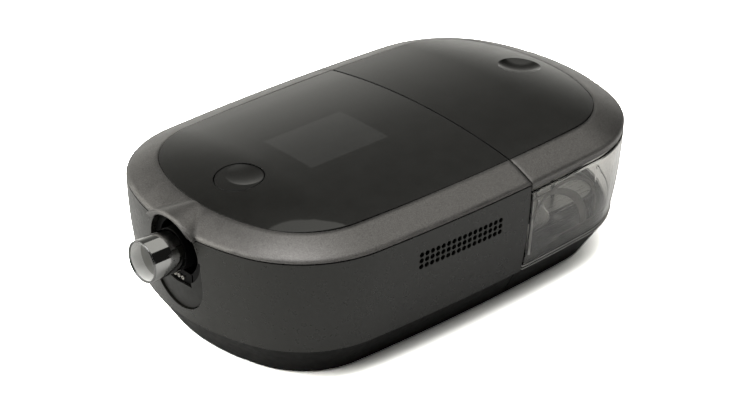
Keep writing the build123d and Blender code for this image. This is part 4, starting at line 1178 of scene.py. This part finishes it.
@dataclass
class ScrewSet:
    """Screws of one CAD node, with a thread and a recessed head."""

    node: str
    drive: Drive
    body: Body = Body.HOUSING
    heads_down: bool = False
    shank_mm: float = 1.5
    head_high_mm: float = 1.6
    thread_mm: float = 0.7
    crown: tuple[tuple[float, float], ...] = ((0.0, 0.82), (0.12, 0.93), (0.4, 1.0))
    core: float = 0.8
    recess_deep: float = 0.55
    hex_reach: float = 0.5
    cross_reach: tuple[float, float] = (0.6, 0.12)
    cross_round_mm: float = 0.1

    def model(self, low: Vector, high: Vector) -> Mesh:
        """Model the first screw between the corners of its solid.

        Args:
            low: Lowest corner.
            high: Highest corner.

        Returns:
            The screw.
        """
        length, head = (high.z - low.z) / MM, (high.x - low.x) / MM / 2
        start, axis = Vector(((low.x + high.x) / 2, (low.y + high.y) / 2, high.z)), Vector((0, 0, -1))
        if self.heads_down:
            start.z, axis = low.z, Vector((0, 0, 1))
        tall, shank = self.head_high_mm, self.shank_mm
        stations = [(0.0, CLOSED_MM), *((along, head * share) for along, share in self.crown)]
        stations += [(tall, head), (tall, shank)]
        along = tall + self.thread_mm
        while along < length - self.thread_mm * 1.5:
            stations += [(along, shank * self.core), (along + self.thread_mm / 2, shank)]
            along += self.thread_mm
        stations += [(length - self.thread_mm, shank * self.core), (length, CLOSED_MM)]
        screw = turned(f"{self.node}_1", start, axis, stations, 32)
        for tool in self.tools(start, head):
            cut_out(screw, tool)
        return tidied(screw, 40)

    def tools(self, start: Vector, head: float) -> list[Mesh]:
        """Solids that cut the recess.

        Args:
            start: Middle of the top of the head.
            head: Radius of the head, in millimetres.

        Returns:
            The solids.
        """
        deep = self.head_high_mm * self.recess_deep * MM
        if self.drive is Drive.HEX:
            clear_floor()
            bpy.ops.mesh.primitive_cylinder_add(
                vertices=6, radius=head * self.hex_reach * MM, depth=2 * deep, location=start
            )
            return [named("socket_tool")]
        wide, slim = (head * reach * MM for reach in self.cross_reach)
        halves = (Vector((wide, slim, deep)), Vector((slim, wide, deep)))
        corners = [(start - half, start + half) for half in halves]
        return [bevelled_box("cross_tool", low, high, self.cross_round_mm) for low, high in corners]

    def build(self) -> None:
        """Model one screw and copy it to every place."""
        boxes = solid_boxes(self.node)
        self.screws = repeated(self.model(*boxes[0]), self.node, boxes)
        for screw in self.screws:
            place_piece(screw, self.body, "steel", self.node)

    def dress(self, paint: Paintbox) -> None:
        """Plate the screws."""
        for screw in self.screws:
            paint.put(screw, "steel")


@dataclass
class RubberFeet:
    """Round feet with rings moulded into their soles."""

    rings: int = 3
    ring_mm: float = 0.9
    ring_deep_mm: float = 0.35
    chamfer_mm: float = 0.3
    draft_mm: float = 0.1

    def build(self) -> None:
        """Turn one foot and copy it to every place."""
        boxes = solid_boxes("rubber_feet")
        low, high = boxes[0]
        middle, radius, tall = (low + high) / 2, (high.x - low.x) / MM / 2, (high.z - low.z) / MM
        sole, deep, draft = radius - self.chamfer_mm, self.ring_deep_mm, self.draft_mm
        stations = [(tall, CLOSED_MM), (tall, radius), (self.chamfer_mm, radius), (0.0, sole)]
        edge = sole - self.ring_mm
        for _ in range(self.rings):
            inner = edge - self.ring_mm
            stations += [(0.0, edge), (deep, edge - draft), (deep, inner + draft), (0.0, inner)]
            edge -= 2 * self.ring_mm
        stations.append((0.0, CLOSED_MM))
        start = Vector((middle.x, middle.y, low.z))
        foot = turned("rubber_foot_1", start, Vector((0, 0, 1)), stations, 48)
        self.feet = repeated(foot, "rubber_foot", boxes)
        for foot in self.feet:
            place_piece(foot, Body.HOUSING, "rubber_black", "rubber_feet")

    def dress(self, paint: Paintbox) -> None:
        """Colour the feet."""
        for foot in self.feet:
            paint.put(foot, "rubber_black")


@dataclass
class Capacitors:
    """Sleeved capacitors with a waist and a bare, slightly sunk top."""

    waist_mm: float = 1.2
    waist_deep_mm: float = 0.35
    crimp_mm: float = 0.5
    top_deep_mm: float = 0.2
    bare_in_mm: float = 0.75
    bare_down_mm: float = 0.5

    def build(self) -> None:
        """Turn one can for each solid of the node."""
        self.cans = []
        for number, (low, high) in enumerate(solid_boxes("power_capacitors"), 1):
            radius, tall = (high.x - low.x) / MM / 2, (high.z - low.z) / MM
            waist = tall - 2 * self.waist_mm
            stations = [
                (0.0, CLOSED_MM), (0.0, radius - self.crimp_mm), (self.crimp_mm, radius),
                (waist - self.waist_mm / 2, radius), (waist, radius - self.waist_deep_mm),
                (waist + self.waist_mm / 2, radius), (tall - self.crimp_mm, radius),
                (tall, radius - self.crimp_mm),
                (tall - self.top_deep_mm, radius - 2 * self.crimp_mm),
                (tall - self.top_deep_mm, CLOSED_MM),
            ]
            start = Vector(((low.x + high.x) / 2, (low.y + high.y) / 2, low.z))
            can = turned(f"power_capacitor_{number}", start, Vector((0, 0, 1)), stations, 40)
            self.cans.append((can, high.z, radius - self.bare_in_mm, start))
            place_piece(can, Body.HOUSING, "capacitor_sleeve", "power_capacitors")

    def dress(self, paint: Paintbox) -> None:
        """Sleeve the cans and leave their tops bare.

        Args:
            paint: Finishes to take from.
        """
        for can, top_z, bare_mm, start in self.cans:
            paint.put(can, "capacitor_sleeve", "heater_aluminium")
            for face in can.data.polygons:
                away = (face.center - start).xy.length
                on_top = face.center.z > top_z - self.bare_down_mm * MM
                face.material_index = int(on_top and away < bare_mm * MM)


@dataclass
class FilterPad:
    """Pleated air filter in the drawer."""

    pleats: int = 14
    paper_mm: float = 0.8

    def build(self) -> None:
        """Fold a sheet into pleats between the faces of the pad."""
        low, high = (Vector(corner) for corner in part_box("filter_pad"))
        middle, size = (low + high) / 2, high - low
        clear_floor()
        bpy.ops.mesh.primitive_grid_add(
            x_subdivisions=2 * self.pleats,
            y_subdivisions=4,
            size=1,
            location=middle,
            rotation=(math.pi / 2, 0, 0),
        )
        bpy.context.object.scale = (size.x, size.z, 1)
        self.pad = named("filter_pleats")
        step, depth = size.x / (2 * self.pleats), size.y / 2 - self.paper_mm * MM
        for side in (0, 1):
            pick_points(self.pad, lambda point: round((point.x - low.x) / step) % 2 == side)
            bpy.ops.transform.translate(value=(0, depth * (2 * side - 1), 0))
            bpy.ops.object.mode_set(mode="OBJECT")
        thicken(self.pad, self.paper_mm, 0.0)
        tidied(self.pad)
        place_piece(self.pad, Body.DRAWER, "filter_white", "filter_pad")

    def dress(self, paint: Paintbox) -> None:
        """Colour the paper."""
        paint.put(self.pad, "filter_white")


# ---- studio ---------------------------------------------------------------------------------
@dataclass(frozen=True)
class Eye:
    """Camera of the main view."""

    azimuth: float = -41.89
    elevation: float = 29.32
    distance: float = 1.14258
    lens_mm: float = 104.36
    sensor_mm: float = 36.0
    roll: float = 0.39
    centre: tuple[float, float, float] = (0.0091, 0.0, 0.045)
    aside: float = -0.00298
    above: float = -0.00646

    def build(self) -> None:
        """Place the camera and make it the scene's own."""
        turn, tilt, roll = (math.radians(a) for a in (self.azimuth, self.elevation, self.roll))
        right = Vector((math.cos(turn), math.sin(turn), 0))
        flat = Vector((-math.sin(turn), math.cos(turn), 0)) * math.cos(tilt)
        forward = flat - Vector((0, 0, math.sin(tilt)))
        up = right.cross(forward)
        place = Vector(self.centre) + right * self.aside + up * self.above - forward * self.distance
        side = right * math.cos(roll) + up * math.sin(roll)
        top = up * math.cos(roll) - right * math.sin(roll)
        data = bpy.data.cameras.new("eye")
        data.lens, data.sensor_width = self.lens_mm, self.sensor_mm
        data.clip_start, data.clip_end = 0.02, 60.0
        camera = bpy.data.objects.new("eye", data)
        pose = Matrix((side, top, -forward)).transposed().to_4x4()
        camera.matrix_world = Matrix.Translation(place) @ pose
        bpy.context.scene.collection.objects.link(camera)
        bpy.context.scene.camera = camera


@dataclass(frozen=True)
class Patch:
    """Part of the sky with a level of its own, around one direction; start and full are cosines."""

    direction: tuple[float, float, float]
    start: float
    full: float
    level: float


@dataclass(frozen=True)
class Studio:
    """Pale floor, soft overhead light and a plain sky with darker and brighter patches."""

    floor_size: float = 24.0
    floor_grey: float = 0.80
    floor_shown: float = 7.0
    floor_mirrored: float = 0.9
    levels: tuple[tuple[float, float], ...] = (
        (0.0, 1.0), (0.10, 1.0), (0.26, 0.52), (0.48, 0.2), (0.70, 0.12),
    )
    warmth: Colour = (1.0, 0.99, 0.93)
    patches: tuple[Patch, ...] = (
        Patch((-0.62, -0.62, 0.48), 0.5, 0.9, 0.02),
        Patch((0.88, -0.40, 0.26), 0.5, 0.85, 0.02),
        Patch((0.55, -0.75, 0.35), 0.8, 0.92, 0.02),
        Patch((-0.68, 0.62, 0.38), 0.7, 0.95, 3.2),
        Patch((0.34, 0.0, 1.0), 0.845, 0.850, 0.85),
    )
    key_strength: float = 0.9
    key_spread: float = 40.0
    key_direction: tuple[float, float, float] = (0.16, -0.02, -1.0)

    def floor(self) -> None:
        """Lay a plain pale floor that the camera, metal and glass see as white."""
        clear_floor()
        bpy.ops.mesh.primitive_plane_add(size=self.floor_size, location=(0, 0, 0))
        floor = named("studio_floor")
        board = Board("floor_white")
        rays = board.add("ShaderNodeLightPath")
        glossy, through = rays.outputs["Is Glossy Ray"], rays.outputs["Is Transmission Ray"]
        mirrored = board.maths("MAXIMUM", glossy, through)
        plain = board.spread(mirrored, self.floor_grey, self.floor_mirrored, 0.0, 1.0)
        shown = board.maths("MULTIPLY", rays.outputs["Is Camera Ray"], self.floor_shown)
        diffuse = board.add("ShaderNodeBsdfDiffuse")
        board.join(board.maths("MAXIMUM", plain, shown), diffuse.inputs["Color"])
        output = next(n for n in board.tree.nodes if n.bl_idname == "ShaderNodeOutputMaterial")
        board.join(diffuse.outputs["BSDF"], output.inputs["Surface"])
        floor.data.materials.append(board.material)

    def sky(self) -> None:
        """Surround the scene with a sky that dims upwards, with the patches mixed over it."""
        world = bpy.data.worlds.new("studio_sky")
        bpy.context.scene.world = world
        world.use_nodes = True
        tree = world.node_tree
        tree.nodes.clear()
        coordinates = tree.nodes.new("ShaderNodeTexCoord")
        split = tree.nodes.new("ShaderNodeSeparateXYZ")
        ramp = tree.nodes.new("ShaderNodeValToRGB")
        background = tree.nodes.new("ShaderNodeBackground")
        output = tree.nodes.new("ShaderNodeOutputWorld")
        tree.links.new(coordinates.outputs["Generated"], split.inputs[0])
        tree.links.new(split.outputs["Z"], ramp.inputs["Fac"])
        background.inputs["Color"].default_value = (*self.warmth, 1)
        strength = ramp.outputs["Color"]
        for patch in self.patches:
            facing = tree.nodes.new("ShaderNodeVectorMath")
            facing.operation = "DOT_PRODUCT"
            facing.inputs[1].default_value = Vector(patch.direction).normalized()
            tree.links.new(coordinates.outputs["Generated"], facing.inputs[0])
            share = tree.nodes.new("ShaderNodeMapRange")
            share.interpolation_type = "SMOOTHSTEP"
            share.inputs["From Min"].default_value = patch.start
            share.inputs["From Max"].default_value = patch.full
            tree.links.new(facing.outputs["Value"], share.inputs["Value"])
            blend = tree.nodes.new("ShaderNodeMix")
            blend.inputs["B"].default_value = patch.level
            tree.links.new(share.outputs["Result"], blend.inputs["Factor"])
            tree.links.new(strength, blend.inputs["A"])
            strength = blend.outputs["Result"]
        tree.links.new(strength, background.inputs["Strength"])
        tree.links.new(background.outputs["Background"], output.inputs["Surface"])
        elements = ramp.color_ramp.elements
        while len(elements) < len(self.levels):
            elements.new(0.5)
        for element, (place, level) in zip(elements, self.levels):
            element.position, element.color = place, (level, level, level, 1)

    def lamps(self) -> None:
        """Hang one broad, soft lamp overhead."""
        data = bpy.data.lights.new("key", "SUN")
        data.energy, data.angle = self.key_strength, math.radians(self.key_spread)
        lamp = bpy.data.objects.new("key", data)
        lamp.rotation_euler = Vector(self.key_direction).to_track_quat("-Z", "Y").to_euler()
        bpy.context.scene.collection.objects.link(lamp)

    def build(self) -> None:
        """Set up the whole studio."""
        self.floor()
        self.sky()
        self.lamps()
        bpy.context.scene.view_settings.view_transform = "Standard"


def main() -> None:
    """Build the classes in order and report each piece."""
    logging.basicConfig(level=logging.INFO, format="%(name)s: %(message)s")
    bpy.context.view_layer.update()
    paint = Paintbox()
    CarriedNodes({"front_panel": "panel_window", "lid_panel": "lid_gloss"}).dress(paint)
    assemblies = [
        AirOutlet(),
        TankFittings(),
        RubberFeet(),
        ScrewSet("base_screws", Drive.CROSS, heads_down=True),
        ScrewSet("case_screws", Drive.HEX),
        ScrewSet("board_screws", Drive.CROSS),
        ScrewSet("heater_screws", Drive.CROSS),
        Capacitors(),
        FilterPad(),
    ]
    for assembly in assemblies:
        assembly.build()
        assembly.dress(paint)
    clear_floor()
    Studio().build()
    Eye().build()


if __name__ == "__main__":
    main()
